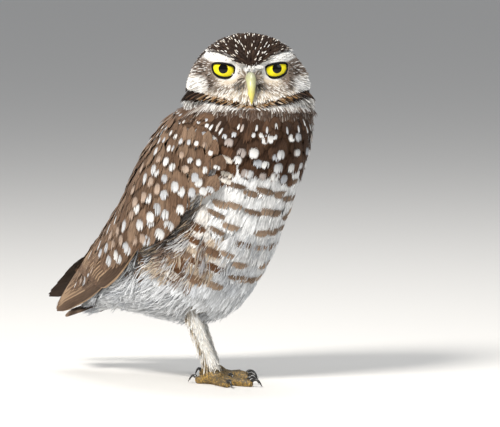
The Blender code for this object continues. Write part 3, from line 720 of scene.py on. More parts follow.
def plumage(name, barbs, roughness, sheen, streak, mottle):
    """Feather keratin: matt, with a soft sheen, the barbs as fine ridges from the shaft."""
    made, tree, shader = material(name, {
        "Roughness": roughness,
        "Specular IOR Level": 0.15,
        "Sheen Weight": sheen,
        "Sheen Roughness": 0.5,
        "Sheen Tint": (1.0, 0.98, 0.95, 1.0),
    })
    uv = node(tree, "UVMap", uv_map="vane")
    parts = node(tree, "SeparateXYZ", {0: uv})
    off_shaft = node(tree, "Math", {0: parts, 1: 0.5}, operation="SUBTRACT")
    across = node(tree, "Math", {0: off_shaft}, operation="ABSOLUTE")
    along = parts.outputs[1]
    ground, mark, spots, bars = (node(tree, "Attribute", attribute_name=key) for key in PAINT_KEYS)
    spot_at, spot_half, spot_along = node(tree, "SeparateXYZ", {0: spots.outputs["Vector"]}).outputs
    bar_number, bar_place, bar_strength = node(tree, "SeparateXYZ", {0: bars.outputs["Vector"]}).outputs
    place = node(tree, "TexCoord").outputs["Object"]
    # Ragged edges of the markings, 1.5 notches to the millimetre
    fray = node(tree, "TexNoise", {"Vector": place, "Scale": 1.5 / MM, "Detail": 1.0})
    fray = node(tree, "Math", {0: fray, 1: 0.5}, operation="SUBTRACT")
    fray = node(tree, "Math", {0: fray, 1: 0.17}, operation="MULTIPLY")
    lane = node(tree, "Math", {0: along, 1: fray}, operation="ADD")

    # A rounded spot on the shaft, or one on either side of it
    shares, powers = [], []
    for at, middle, half in ((across, spot_at, spot_half), (lane, spot_along, spots.outputs["Alpha"])):
        away = node(tree, "Math", {0: at, 1: middle}, operation="SUBTRACT")
        half = node(tree, "Math", {0: half, 1: 0.001}, operation="MAXIMUM")
        shares.append(node(tree, "Math", {0: away, 1: half}, operation="DIVIDE"))
        power = node(tree, "Math", {0: shares[-1]}, operation="ABSOLUTE")
        powers.append(node(tree, "Math", {0: power, 1: 2.4}, operation="POWER"))
    far = node(tree, "Math", {0: powers[0], 1: powers[1]}, operation="ADD")
    fall = {"Value": far, "From Min": 1.55, "From Max": 0.45}
    in_spot = node(tree, "MapRange", fall, interpolation_type="SMOOTHSTEP")
    has_spot = node(tree, "Math", {0: spot_half, 1: 0.002}, operation="GREATER_THAN")
    in_spot = node(tree, "Math", {0: in_spot, 1: has_spot}, operation="MULTIPLY")

    # Cross bars, bowed like the feather's tip
    bow = node(tree, "Math", {0: across, 1: 2.0}, operation="POWER")
    bow = node(tree, "Math", {0: bow, 1: 0.5}, operation="MULTIPLY")
    bowed = node(tree, "Math", {0: lane, 1: bow}, operation="ADD")
    wave = node(tree, "Math", {0: bowed, 1: bar_number}, operation="MULTIPLY")
    wave = node(tree, "Math", {0: wave, 1: bar_place}, operation="ADD")
    wave = node(tree, "Math", {0: wave, 1: 2 * math.pi}, operation="MULTIPLY")
    crest = node(tree, "Math", {0: wave}, operation="COSINE")
    past = node(tree, "Math", {0: crest, 1: bars.outputs["Alpha"]}, operation="SUBTRACT")
    edge = {"Value": past, "From Min": -0.15, "From Max": 0.20}
    in_bar = node(tree, "MapRange", edge, interpolation_type="SMOOTHSTEP")
    in_bar = node(tree, "Math", {0: in_bar, 1: bar_strength}, operation="MULTIPLY")
    marked = node(tree, "Math", {0: in_spot, 1: in_bar}, operation="MAXIMUM")

    # Streaks of lighter and darker barbs, a paler margin, a darker edge round each spot, and
    # spots greyer towards their base as painted shade
    scaled = node(tree, "VectorMath", {0: uv, 1: (15.0, 2.4, 1.0)}, operation="MULTIPLY")
    moved = node(tree, "VectorMath", {0: place, 1: (90.0, 90.0, 90.0), 2: scaled}, operation="MULTIPLY_ADD")
    strands = node(tree, "TexNoise", {"Vector": moved, "Scale": 1.0, "Detail": 3.0, "Roughness": 0.6})
    toned = None
    for value, start, end, low, high in (
        (strands, 0.30, 0.70, 1.0 - mottle, 1.0 + mottle),
        (along, 0.60, 1.0, 0.86, 1.22),
        (far, 1.2, 4.0, 0.80, 1.0),
    ):
        limits = {"Value": value, "From Min": start, "From Max": end, "To Min": low, "To Max": high}
        tone = node(tree, "MapRange", limits)
        toned = tone if toned is None else node(tree, "Math", {0: toned, 1: tone}, operation="MULTIPLY")
    toned = node(tree, "VectorMath", {0: ground, "Scale": toned}, operation="SCALE")
    fade = {"Value": shares[1], "From Min": -1.0, "From Max": 0.4, "To Min": 0.62, "To Max": 1.0}
    faded = node(tree, "VectorMath", {0: mark, "Scale": node(tree, "MapRange", fade)}, operation="SCALE")
    coloured = node(tree, "Mix", {0: marked, 6: toned, 7: faded}, data_type="RGBA").outputs[2]

    # Barbs as fine slanting lines of light and shade
    rows = node(tree, "Math", {0: along, 1: barbs}, operation="MULTIPLY")
    slant = node(tree, "Math", {0: across, 1: barbs * -0.9}, operation="MULTIPLY")
    line = node(tree, "Math", {0: rows, 1: slant}, operation="ADD")
    line = node(tree, "Math", {0: line, 1: 2 * math.pi}, operation="MULTIPLY")
    line = node(tree, "Math", {0: line}, operation="SINE")
    limits = {"Value": line, "From Min": -1.0, "From Max": 1.0, "To Min": 1.0 - streak, "To Max": 1.0}
    shade = node(tree, "MapRange", limits)
    shaded = node(tree, "Mix", {0: 1.0, 6: coloured, 7: shade}, data_type="RGBA", blend_type="MULTIPLY")
    relief = node(tree, "Bump", {"Height": line, "Distance": 0.06 * MM, "Strength": 0.5})
    feed(shader, {"Base Color": shaded.outputs[2], "Normal": relief})
    return made


def set_stops(elements, stops):
    """Gives a colour ramp its lowest and highest stop, then those between them."""
    for element, (position, colour) in zip(elements, stops):
        element.position = position
        element.color = rgba(colour)
    for position, colour in stops[2:]:
        elements.new(position).color = rgba(colour)


def roughened(tree, shader, lumps, height, detail=2.0):
    """Gives a shader fine relief with that many lumps to the millimetre."""
    place = node(tree, "TexCoord").outputs["Object"]
    grain = node(tree, "TexNoise", {"Vector": place, "Scale": lumps / MM, "Detail": detail})
    feed(shader, {"Normal": node(tree, "Bump", {"Height": grain, "Distance": height})})
    return grain


def dressed(obj, finish, slot, *replaced):
    """Gives a piece its material, and hides the nodes that it takes the place of. The slot is not used."""
    obj.data.materials.append(finish)
    if replaced:
        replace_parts(obj, *replaced)
    return obj


soft_plumage = plumage("soft contour feather", 30.0, 0.85, 0.05, 0.14, 0.40)
wing_plumage = plumage("smooth wing feather", 34.0, 0.6, 0.04, 0.14, 0.34)
bristle = plumage("fine facial bristle feather", 8.0, 0.8, 0.05, 0.1, 0.15)


# Colours and markings by place
# A spot or bars of no width, in the order that the plumage reads them
NO_SPOT = (0.0, 0.0, 0.8, 0.1)
NO_BARS = (0.0, 0.0, 0.0, 0.5)


def plain_paint(count):
    paint = {key: np.tile(linear(WHITE), (count, 1)) for key in ("ground", "mark")}
    paint["spot"] = np.tile(NO_SPOT, (count, 1)).astype(float)
    paint["bars"] = np.tile(NO_BARS, (count, 1)).astype(float)
    return paint


def mixed(a, b, share):
    """Mixes colours, or lists of them, by each place's share."""
    a, b = (linear(c) if isinstance(c, str) else c for c in (a, b))
    return a + (b - a) * share[:, None]


def face_colours(q, chance):
    """White brows, dark lores by the bill, brown patches beyond the eyes, white cheeks."""
    side, z = np.abs(q[:, 0]), q[:, 2]
    from_eye = np.hypot(side - EYE_X, z - EYE_Z)
    turn = np.degrees(np.arctan2(z - EYE_Z, side - EYE_X))
    round_lids = np.hypot(side - EYE_X, (z - EYE_Z) * 1.3)
    beyond = rise_to(turn, -60, 24) * (1 - rise_to(turn, 40, 20))
    near = (1 - rise_to(round_lids, 0.0104, 0.0018)) * (1 - beyond)
    colours = mixed(CREAM, WHITE, np.maximum(0.55 * (chance > 0.45) + 0.3 * (chance > 0.8), near))
    colours = mixed(colours, FACE_GREY, 0.75 * (chance < 0.24) * (1 - near))

    outer = rise_to(side, 0.0300, 0.005) * rise_to(z, 0.0135, 0.005)
    mottled = mixed(EAR_BROWN, WHITE, 0.80 * (chance > 0.60))
    patch = rise_to(from_eye, 0.0086, 0.0020) * (1 - rise_to(from_eye, 0.0180, 0.006))
    patch = patch * rise_to(turn, -64, 30) * (1 - rise_to(turn, 32, 16))
    streaked = mixed(mixed(EAR_DARK, EAR_BROWN, 1.0 * (chance > 0.35)), WHITE, 0.6 * (chance > 0.85))
    under = rise_to(from_eye, 0.0112, 0.002) * (1 - rise_to(from_eye, 0.0165, 0.003))
    under = under * (1 - rise_to(turn, -62, 20))
    crescent = rise_to(side, 0.0300, 0.005) * (1 - rise_to(z, 0.0125, 0.004))
    bridge = (1 - rise_to(side, 0.0080, 0.004)) * rise_to(z, 0.0100, 0.003)
    lore = 1 - rise_to(np.hypot((side - 0.0070) * 0.8, z - 0.0066), 0.0034, 0.0036)
    beside_bill = rise_to(side, 0.0022, 0.002) * (1 - rise_to(side, 0.0085, 0.003))
    beside_bill = beside_bill * rise_to(z, 0.0110, 0.002)
    brow = rise_to(z, brow_bottom(side), 0.0014) * (1 - rise_to(side, 0.0305, 0.006))
    for colour, share in (
        (mottled, outer),
        (streaked, patch * 0.95),
        (EAR_BROWN, under * 0.75 * (chance < 0.5)),
        (WHITE, crescent * (1 - 0.5 * (chance < 0.15))),
        (FACE_GREY, bridge * (0.35 + 0.4 * (chance < 0.4))),
        (LORE, lore * np.where(chance > 0.35, 0.9, 0.15)),
        (EAR_DARK, beside_bill * 0.6 * (chance < 0.35)),
        (mixed(WHITE, FACE_GREY, 0.55 * (chance < 0.16)), brow),
    ):
        colours = mixed(colours, colour, share)
    return colours


def collar_colours(q, chance):
    """Under the face: flecks of gold, a black line that widens to the sides, then white."""
    side = np.abs(q[:, 0])
    drop = face_rim(side) - q[:, 2]
    black = mixed(COLLAR_DARK, BREAST, 0.8 * (chance > 0.85))
    fleck = mixed(COLLAR_TAN, CREAM, 0.7 * (chance > 0.78))
    gold = mixed(COLLAR_DARK, fleck, 1.0 * (chance > 0.36))
    gilded = (1 - rise_to(drop, 0.0038, 0.0016)) * (1 - rise_to(side, 0.031, 0.005))
    colours = mixed(black, gold, gilded)
    far_side = mixed(FACE_GREY, WHITE, 0.7 * (chance > 0.5))
    colours = mixed(colours, far_side, rise_to(side, 0.0430, 0.004) * 0.8)
    white = mixed(mixed(WHITE, FACE_GREY, 0.55 * (chance > 0.62)), EAR_BROWN, 0.6 * (chance > 0.90))
    white_top = np.interp(side, (0, 0.010, 0.029, 0.041), (-0.0074, -0.0064, -0.0040, -0.0016))
    colours = mixed(colours, white, 1 - rise_to(q[:, 2], white_top, 0.0012))
    at = (0, 0.008, 0.014, 0.031, 0.041)
    white_foot = np.interp(side, at, (-0.0074, -0.0082, -0.0086, -0.0092, -0.0092))
    white_foot = white_foot - 0.0034 * (chance - 0.5) ** 3 * 4
    brown = np.where(chance > 0.78, 0.30, 0.95)
    return mixed(colours, BREAST, brown * (1 - rise_to(q[:, 2], white_foot, 0.0012)))


def head_colours(points, chance):
    q = in_head(points)
    behind = rise_to(q[:, 1], 0.010, 0.020)
    nape = behind * (1 - rise_to(q[:, 2], 0.018, 0.030))
    crown = mixed(mixed(CROWN, NAPE, 0.35 * (chance > 0.7)), NAPE, nape)
    below = 1 - rise_to(q[:, 2] - face_rim(np.abs(q[:, 0])), 0.0, 0.0012)
    below = below * (1 - rise_to(q[:, 1], 0.016, 0.004))
    colours = mixed(crown, face_colours(q, chance), on_face(q))
    return mixed(colours, collar_colours(q, chance), below)


def head_paint(points, rng):
    """Face and collar colours, and a crown and nape with small white spots."""
    count = len(points)
    q = in_head(points)
    paint = plain_paint(count)
    paint["ground"] = varied(head_colours(points, rng.random(count)), rng, 0.12)
    forehead = 1 - rise_to(np.linalg.norm(q - FOREHEAD, axis=1), 0.016, 0.014)
    low = 1 - rise_to(q[:, 2], 0.012, 0.016)
    spotted = rng.random(count) < 0.30 + 0.10 * forehead + 0.06 * low
    spotted &= (on_face(q) < 0.4) & (q[:, 2] > -0.012)
    spotted &= ~((q[:, 2] < face_rim(np.abs(q[:, 0]))) & (q[:, 1] < 0.016))
    half = np.where(spotted, rng.uniform(0.17, 0.25, count) + 0.06 * low, 0.0)
    paint["mark"] = mixed(WHITE, CREAM, rng.random(count))
    paint["spot"] = stacked(0.0, half, 0.78, half * rng.uniform(0.75, 1.2, count))
    paint["cells"] = bake_cells(points, HAIR_CELL)
    return paint


def skin_arrays(bm):
    points, normals = vertex_arrays(bm)
    tris = np.array([[loop.vert.index for loop in tri] for tri in bm.calc_loop_triangles()])
    return points, normals, tris


def skin_colours(points):
    """The colours of the coat that lies over the skin, darkened as painted shade deep in the coat."""
    turns = np.radians(np.arange(0, 181, 5))
    t, turn = (k.ravel() for k in np.meshgrid(np.linspace(0.09, 0.97, 60), turns))
    front = np.radians(wing_edges(t)[0])
    tree = KDTree(4 * len(t))
    for n, surface in enumerate((wing_surface("right"), wing_surface("left"), body_surface, body_surface)):
        for i, place in enumerate(surface(t, turn if n < 3 else -turn)):
            if n > 1 or turn[i] <= front[i]:
                tree.insert(place, int(turn[i] <= front[i]))
    tree.balance()
    brown = np.array([tree.find(place)[1] for place in points], float)
    high = rise_to(points[:, 2], 0.147, 0.01)
    # White taken at 0.7 and the head's colours at 0.8: painted shade deep between the feathers
    body = mixed(linear(BELLY_WHITE) * 0.7, WING_DARK, np.maximum(brown, high))
    head = head_colours(points, np.full(len(points), 0.45)) * 0.8
    return mixed(body, head, rise_to(points[:, 2], 0.189, 0.004))


def build_skin_piece(bm):
    """Colours the skin as the coat over it, so that no gap between feathers shows bare."""
    colours = skin_colours(vertex_arrays(bm)[0])
    obj = piece_from(bm, "skin")
    set_colours(obj.data, "ground", colours)
    # Matt skin with the fine fluff of down
    finish, tree, shader = material("skin under down", {"Roughness": 0.9, "Specular IOR Level": 0.15})
    feed(shader, {"Base Color": node(tree, "Attribute", attribute_name="ground")})
    roughened(tree, shader, 1.4, 0.3 * MM, 3.0)
    return dressed(obj, finish, "plumage_brown", "head", "neck", "torso", "leg_right", "leg_left")


# Head coat
def grow_head(skin):
    """Small feathers of crown and nape, bristles of the face, and the collar under it."""
    def zones(points):
        """On crown and nape, on the face, or under it."""
        q = in_head(points)
        face = on_face(q) >= 0.5
        under = ~face & (q[:, 2] < face_rim(np.abs(q[:, 0]))) & (q[:, 1] < 0.018)
        return ~face & ~under, face, under

    def from_eyes(q):
        return np.hypot(np.abs(q[:, 0]) - EYE_X, q[:, 2] - EYE_Z)

    def crown_sizes(q):
        low = 1 - rise_to(q[:, 2], 0.006, 0.016)
        same = np.ones(len(q))
        return 0.0054 + 0.0030 * low, 0.00088 + 0.0004 * low, 0.58 * same, 0.24 * same

    def face_sizes(q):
        away = rise_to(from_eyes(q), 0.0135, 0.010)
        edge = rise_to(np.abs(q[:, 0]), 0.032, 0.008)
        at_rim = 1 - rise_to(q[:, 2] - face_rim(np.abs(q[:, 0])), 0.003, 0.004)
        length = (0.0022 + 0.0030 * away + 0.001 * edge) * (1 - 0.3 * at_rim)
        return length, 0.00027 + 0.00024 * away, 0.36 + 0.14 * edge, 0.18 + 0 * edge

    def collar_sizes(q):
        flank = rise_to(np.abs(q[:, 0]), 0.024, 0.014) * rise_to(q[:, 1], -0.022, 0.014)
        rim = 1 - rise_to(face_rim(np.abs(q[:, 0])) - q[:, 2], 0.002, 0.001)
        lift = 0.40 + 0.16 * rim + 0.22 * flank
        return 0.0048 + 0.0038 * flank, 0.00034 + 0.00012 * flank, lift, 0.20 + 0 * rim

    # name, seed, zone, foot, spacing near the eyes and away from them, sizes, finish, thickness
    for name, seed, zone, foot, near, away, sizes, finish, thickness in (
        ("crown_coat", 21, 0, HEAD_COAT_FOOT, 0.00122, 0.00122, crown_sizes, soft_plumage, 0.00018),
        ("face_coat", 31, 1, HEAD_COAT_FOOT, 0.00068, 0.00086, face_sizes, bristle, BRISTLE_THICKNESS),
        ("collar_coat", 36, 2, 0.1855, 0.00085, 0.00085, collar_sizes, bristle, 0.00014),
    ):
        def spacing(points):
            wanted = np.where(from_eyes(in_head(points)) < 0.014, near, away)
            return np.where(zones(points)[zone] & (points[:, 2] > foot), wanted, 0.0)

        rng = np.random.default_rng(seed)
        roots, out = clear_of_eyes(*scatter(skin, spacing, seed))
        length, width, lift, curl = sizes(in_head(roots))
        length = length * rng.uniform(0.8, 1.2, len(roots))
        width = width * rng.uniform(0.8, 1.2, len(roots))
        lie = coat_lie(roots, out)
        paint = head_paint(roots + lie * (length * 0.5)[:, None], rng)
        sunk = roots - out * 0.0003
        made = locks(name, sunk, lie, out, length, width, lift, curl, paint, seed, thickness)
        dressed(made, finish, "plumage_head")


def clear_of_eyes(roots, out):
    """Drops the places inside the opening of the lids."""
    q = in_head(roots)
    keep = np.ones(len(q), bool)
    for s in (-1, 1):
        x = q[:, 0] - s * EYE_X
        z = q[:, 2] - EYE_Z - LID_SLOPE * x * s
        inside = (z < LID_ABOVE + 0.0008) & (z > -LID_BELOW - 0.0008)
        keep &= ~(inside & (np.abs(x) < LID_HALF_WIDTH + 0.0009) & (q[:, 1] < 0))
    return roots[keep], out[keep]


# Body coat
def turn_from_back(angle):
    """Degrees from the middle of the back, on either side."""
    return np.degrees(np.minimum(angle % (2 * math.pi), 2 * math.pi - angle % (2 * math.pi)))


def body_roots(t_from, t_to, row_step, feather_step, rng):
    """Rows of roots round the body, each row's feathers between those of the last."""
    ts, angles = [], []
    t = t_from
    row = 0
    while t < t_to:
        y, z, _, back, belly, side = line_rows(BODY_LINE, np.array(t))
        count = max(7, int(math.pi * ((back + belly) / 2 + side) / feather_step))
        ts.append(np.full(count, t))
        angles.append((np.arange(count) + 0.5 * (row % 2)) * 2 * math.pi / count)
        ahead = line_rows(BODY_LINE, np.array(t + 0.01))
        t += 0.01 * row_step / math.hypot(ahead[0] - y, ahead[1] - z)
        row += 1
    t, angle = np.concatenate(ts), np.concatenate(angles)
    return t + rng.normal(0, 0.0045, len(t)), angle + rng.normal(0, 0.045, len(t))


def wing_beside(t):
    """How far down the wing lies beside the body's t, and the wing's two edges there."""
    body_steps = (0, 0.02, 0.09, 0.18, 0.27, 0.36, 0.45, 0.55, 0.64, 0.73, 0.80)
    at = np.interp(t, np.linspace(0, 1, len(BODY_LINE)), body_steps)
    return at, *wing_edges(at)


def under_wing(t, angle):
    """Whether a place on the body is well covered by a folded wing."""
    turn = turn_from_back(angle)
    at, front, back = wing_beside(t)
    return (at > 0.15) & (turn < front - 6) & (turn > back + 12) & (at < 0.70)


def body_paint(tips, turn, rng):
    """Brown breast and mantle with white spots, barred belly, rufous flanks, grey-white vent."""
    count = len(tips)
    paint = plain_paint(count)
    chance, other = rng.random(count), rng.random(count)
    y, z = tips[:, 1], tips[:, 2]
    front = turn > 95
    breast_foot = 0.1400 + 0.020 * smooth((146 - turn) / 36) + rng.normal(0, 0.0016, count)
    breast = front & (z > breast_foot)
    belly = front & ~breast
    flank = belly & (((turn < 146) & (y > 0.004)) | ((turn < 126) & (z > 0.138)))
    golden = flank & (y > 0.038) & (turn < 126)
    ruddy = flank & (np.abs(y - 0.031) < 0.007) & (turn < 132) & (z < 0.122)
    upper = flank & (z > 0.132)
    vent_top = 0.070 - 0.003 * rise_to(turn, 140, 20)
    vent = (turn > 72) & ((z < vent_top) | ((y > 0.085) & (z < 0.085)))

    lowest = 1 - rise_to(z, 0.156, 0.014)
    # Painted shade: the lower belly turns greyer towards the underside
    underside_shade = 0.40 * (1 - rise_to(z, 0.084, 0.03))
    ground = mixed(WING_BROWN, WING_DARK, 0.3 + 0.6 * other)
    for where, colours in (
        (breast, mixed(mixed(BREAST, BREAST_DARK, 0.9 * other), FLANK_RUFOUS, 0.18 * lowest)),
        (belly, mixed(mixed(BELLY_WHITE, DOWN_WHITE, 0.6 * other), GREY_DOWN_AND_SHADE, underside_shade)),
        (flank, mixed(BELLY_WHITE, FLANK_GOLD, 0.25 + 0.6 * (other > 0.5))),
        (golden, mixed(FLANK_GOLD, BELLY_WHITE, 0.7 * other)),
        (ruddy, mixed(FLANK_RUFOUS, FLANK_GOLD, 0.7 * other)),
        (upper, mixed(FLANK_RUFOUS, BREAST, 0.8 * other)),
        # the vent's grey share is grey down and partly painted shade
        (vent, mixed(DOWN_WHITE, GREY_DOWN_AND_SHADE, 0.5 * other)),
    ):
        ground[where] = colours[where]
    paint["ground"] = varied(ground, rng, 0.06)
    # spots range from white to grey, the grey partly painted shade
    mark = mixed(mixed(WHITE, GREY_DOWN_AND_SHADE, 0.9 * chance), SPOT_BUFF, 0.5 * (other > 0.90))
    dark_bar = 0.75 * rise_to(z, 0.130, 0.02)
    for where, colours in (
        (belly, mixed(mixed(BAR_TAN, BAR_DARK, 0.6 * (other > 0.6)), BAR_DARK, dark_bar)),
        (flank, mixed(mixed(FLANK_RUFOUS, BAR_TAN, 0.5 * other), BAR_DARK, 0.4 * chance)),
        (upper | ruddy, mixed(WHITE, CREAM, 0.7 * chance)),
    ):
        mark[where] = colours[where]
    paint["mark"] = mark

    # Spots on the breast, drawn out to streaks under the collar, and broad flat bars below it
    high = rise_to(z, 0.181, 0.004)
    size = rng.uniform(0.22, 0.31, count) * (1 - 0.20 * high)
    size = np.where(front, size, 0.75 * size)
    gap = 0.5 * (z > 0.170) * (z < 0.1745) * (turn < 134) * front
    size *= rng.random(count) < np.where(breast, 0.90, 0.72) - 0.10 * high - gap
    streak = front & (z > 0.1745) & (size > 0)
    long = np.where(streak, 0.26, size * 0.74)
    size[streak] = 0.12
    spot = stacked(0.0, size, 0.76 + rng.normal(0, 0.02, count), long)
    wide = rng.uniform(0.38, 0.56, count)
    place = 0.76 + rng.normal(0, 0.022, count)
    bar = stacked(0.0, wide, place, rng.uniform(0.095, 0.140, count))
    bar[:, 1] *= rng.random(count) < np.where(flank, 0.95, 0.90)
    bar[:, 3] *= np.where(flank, 1.15, 1.0)
    bar[golden | ruddy, 1] *= rng.random((golden | ruddy).sum()) < 0.45
    spot[belly] = bar[belly]
    spot[vent, 1] = 0.0
    paint["spot"] = spot
    return paint


def grow_body():
    """Rows of soft feathers from the throat to the vent, then the loose down over them."""
    rng = np.random.default_rng(41)

    def throat(z, turn):
        return (turn > 15) & (z < 0.1885 + 0.002 * (turn < 95)) & (z > 0.178)

    def breast(z, turn):
        return (turn > 88) & (z <= 0.184) & (z > 0.148)

    def belly(z, turn):
        return (turn > 75) & (z <= 0.153)

    def mantle(z, turn):
        return (turn <= 82) & (z < 0.1862 + 0.004 * (turn < 45))

    # name, seed, region, reach along the body, steps between rows and between feathers,
    # length, half width, how far the tips stand out, blades of each feather
    for name, seed, region, t_range, row_step, feather_step, length, half_width, proud, blades in (
        ("throat_coat", 45, throat, (0.05, 0.26), 0.0042, 0.0050, 0.0100, 0.0034, 0.0002, 9),
        ("breast_coat", 42, breast, (0.08, 0.44), 0.0068, 0.0084, 0.0150, 0.0054, 0.0006, 13),
        ("belly_coat", 43, belly, (0.24, 0.86), 0.0096, 0.0112, 0.0212, 0.0082, 0.0006, 19),
        ("mantle_coat", 44, mantle, (0.11, 0.95), 0.0060, 0.0072, 0.0140, 0.0050, 0.0004, 9),
    ):
        t, angle = body_roots(*t_range, row_step, feather_step, rng)
        here, out, ahead = surface_frame(body_surface, t, angle)
        turn = turn_from_back(angle)
        keep = region(here[:, 2], turn) & ~under_wing(t, angle)
        here, out, ahead, turn = here[keep], out[keep], ahead[keep], turn[keep]
        count = len(here)
        size = length * rng.uniform(0.92, 1.10, count)
        ahead = along_surface(ahead + np.cross(ahead, out) * rng.normal(0, 0.08, (count, 1)), out)
        curl = np.full(count, 0.20)
        lift = (proud + 0.0030 - size**2 / BODY_BEND) / size + curl
        paint = body_paint(here + ahead * size[:, None] * 0.75, turn, rng)
        paint["cells"] = bake_cells(here, CONTOUR_CELL)
        width = half_width * rng.uniform(0.92, 1.08, count)
        sunk = here - out * 0.0030
        made = fanned(name, sunk, ahead, out, size, width, lift, curl, paint, seed, blades, CONTOUR_CELL)
        dressed(made, soft_plumage, "plumage_pale")
    grow_plumes(rng)


def tufted(count, each, spread, rng):
    """Which tuft each plume belongs to, and how far it stands from that tuft's middle."""
    tuft = np.repeat(np.arange(count), each)
    return tuft, rng.normal(0, spread, (len(tuft), 2))


def grow_plumes(rng):
    """Long loose down in tufts over vent, thighs, flanks and under the tail."""
    # name, seed, tufts, plumes in each, reach along the body and round it, length, half width,
    # how far the tips stand out, how far they lean back
    for name, seed, count, each, t_range, turns, length, width, lift, lean in (
        ("vent_plumes", 46, 560, 11, (0.60, 0.98), (70, 180), 0.0205, 0.00034, 0.0044, 0.0),
        ("breast_fringe", 50, 115, 12, (0.30, 0.60), (98, 113), 0.0140, 0.00028, 0.0022, 0.50),
        ("flank_plumes", 47, 95, 11, (0.48, 0.72), (98, 138), 0.0150, 0.00030, 0.0012, 0.0),
        ("belly_hair", 48, 90, 7, (0.42, 0.62), (120, 180), 0.0120, 0.00018, 0.0012, 0.0),
    ):
        tuft, away = tufted(count, each, 0.0018, rng)
        plumes = len(tuft)
        t = rng.uniform(*t_range, count)[tuft] + away[:, 0] / BODY_LINE_LENGTH
        turn = np.radians(rng.uniform(*turns, count))
        angle = (turn * rng.choice((-1, 1), count))[tuft] + away[:, 1] / 0.045
        turn = turn_from_back(angle)
        here, out, ahead = surface_frame(body_surface, np.clip(t, 0.0, 0.995), angle)
        size = length * rng.uniform(0.7, 1.2, count)[tuft] * rng.uniform(0.75, 1.1, plumes)
        beside = np.cross(ahead, out)
        backward = np.where(np.sum(beside * (0.0, 1.0, 0.0), axis=1) > 0, 1.0, -1.0)
        stray = rng.normal(0, 0.20, count)[tuft] + rng.normal(0, 0.07, plumes)
        sway = lean * backward + stray - away[:, 1] * 60
        ahead = along_surface(ahead + beside * sway[:, None], out)

        y = here[:, 1]
        paint = plain_paint(plumes)
        chance = rng.random(plumes)
        # some tufts grey: grey down, partly painted shade
        ground = mixed(DOWN_WHITE, GREY_DOWN_AND_SHADE, 0.6 * (rng.random(count)[tuft] < 0.35))
        rufous = 0.85 * (rng.random(count)[tuft] > 0.74 - 0.50 * (np.abs(y - 0.031) < 0.008))
        tinted = mixed(mixed(FLANK_GOLD, CREAM, 0.6 * (chance > 0.5)), FLANK_RUFOUS, rufous)
        gold = (turn < 140) & (y > 0.004) & (y < 0.046) & (here[:, 2] > 0.072)
        ground = mixed(ground, tinted, gold * (0.3 + 0.6 * (rng.random(count)[tuft] > 0.3)))
        # Painted shadow: plumes just below the wing's lower edge darkened where the wing shades them
        at, front, _ = wing_beside(np.clip(t, 0, 1))
        shaded = (np.abs(turn - front - 1) < 5) & (at > 0.22) & (at < 0.78)
        ground = mixed(ground, FLIGHT_DARK_AND_SHADE, 0.85 * shaded * (chance > 0.2))
        paint["ground"] = varied(ground, rng, 0.08)
        paint["cells"] = bake_cells(here, HAIR_CELL)
        proud = 0.0010 + lift * (rng.random(count)[tuft] + 0.3 * rng.random(plumes))
        curl = rng.uniform(0.04, 0.20, count)[tuft]
        slope = (proud - size**2 / BODY_BEND) / size + curl
        widths = width * rng.uniform(0.7, 1.3, plumes)
        sunk = here - out * 0.0016
        made = locks(name, sunk, ahead, out, size, widths, slope, curl, paint, seed, BRISTLE_THICKNESS)
        dressed(made, bristle, "plumage_pale")
    grow_undertail(rng)


def grow_undertail(rng):
    """Loose pale feathers from the vent along the underside of the tail."""
    count, each = 90, 10
    tuft, away = tufted(count, each, 0.0012, rng)
    plumes = len(tuft)
    place = rng.uniform(-1, 1, count)[tuft]
    along = (rng.uniform(-0.022, 0.010, count)[tuft])[:, None]
    ahead = np.array((0.0, math.cos(TAIL_SLOPE), -math.sin(TAIL_SLOPE)))
    under = np.array((0.0, -math.sin(TAIL_SLOPE), -math.cos(TAIL_SLOPE)))
    beside = stacked(0.011 * place + away[:, 0], 0.0, 0.0)
    roots = TAIL_ROOT + ahead * along + beside + under * (0.002 + 0.004 * (1 - place**2))[:, None]
    out = unit(np.tile(under, (plumes, 1)) + stacked(0.5 * place, 0.0, 0.0))
    sway = stacked(0.10 * place + rng.normal(0, 0.06, plumes), 0.0, 0.0)
    way = unit(ahead + sway + under * (0.10 * rng.random(plumes))[:, None])
    size = 0.019 * rng.uniform(0.7, 1.15, plumes)
    paint = plain_paint(plumes)
    # Grey tufts under the tail: grey down, partly painted shade
    grey = 0.9 * (rng.random(count)[tuft] < 0.6)
    paint["ground"] = varied(mixed(DOWN_WHITE, GREY_DOWN_AND_SHADE, grey), rng, 0.08)
    paint["cells"] = bake_cells(roots, HAIR_CELL)
    lift = rng.uniform(0.02, 0.16, count)[tuft]
    width = 0.00045 * rng.uniform(0.7, 1.3, plumes)
    curl = np.full(plumes, 0.1)
    made = locks("undertail_plumes", roots, way, out, size, width, lift, curl, paint, 49, BRISTLE_THICKNESS)
    return dressed(made, bristle, "plumage_pale")


# Wings: stiff flight feathers, then rows of soft spotted coverts over them
# count, root and tip of the first and last as (t, degrees), how far the middle ones outreach
# both, half width, kind of markings
FLIGHT_TIERS = (
    (20, (0.50, 80), (0.50, 48), (0.985, 94), (0.880, 34), 0.030, 0.0036, "primary"),
    (18, (0.42, 86), (0.40, 36), (0.700, 86), (0.820, 30), 0.0, 0.0046, "secondary"),
    (4, (0.42, 32), (0.40, 15), (0.790, 24), (0.700, 10), 0.0, 0.0062, "secondary"),
)
COVERT_T = (0.03, 0.93)
COVERT_ROWS = 26


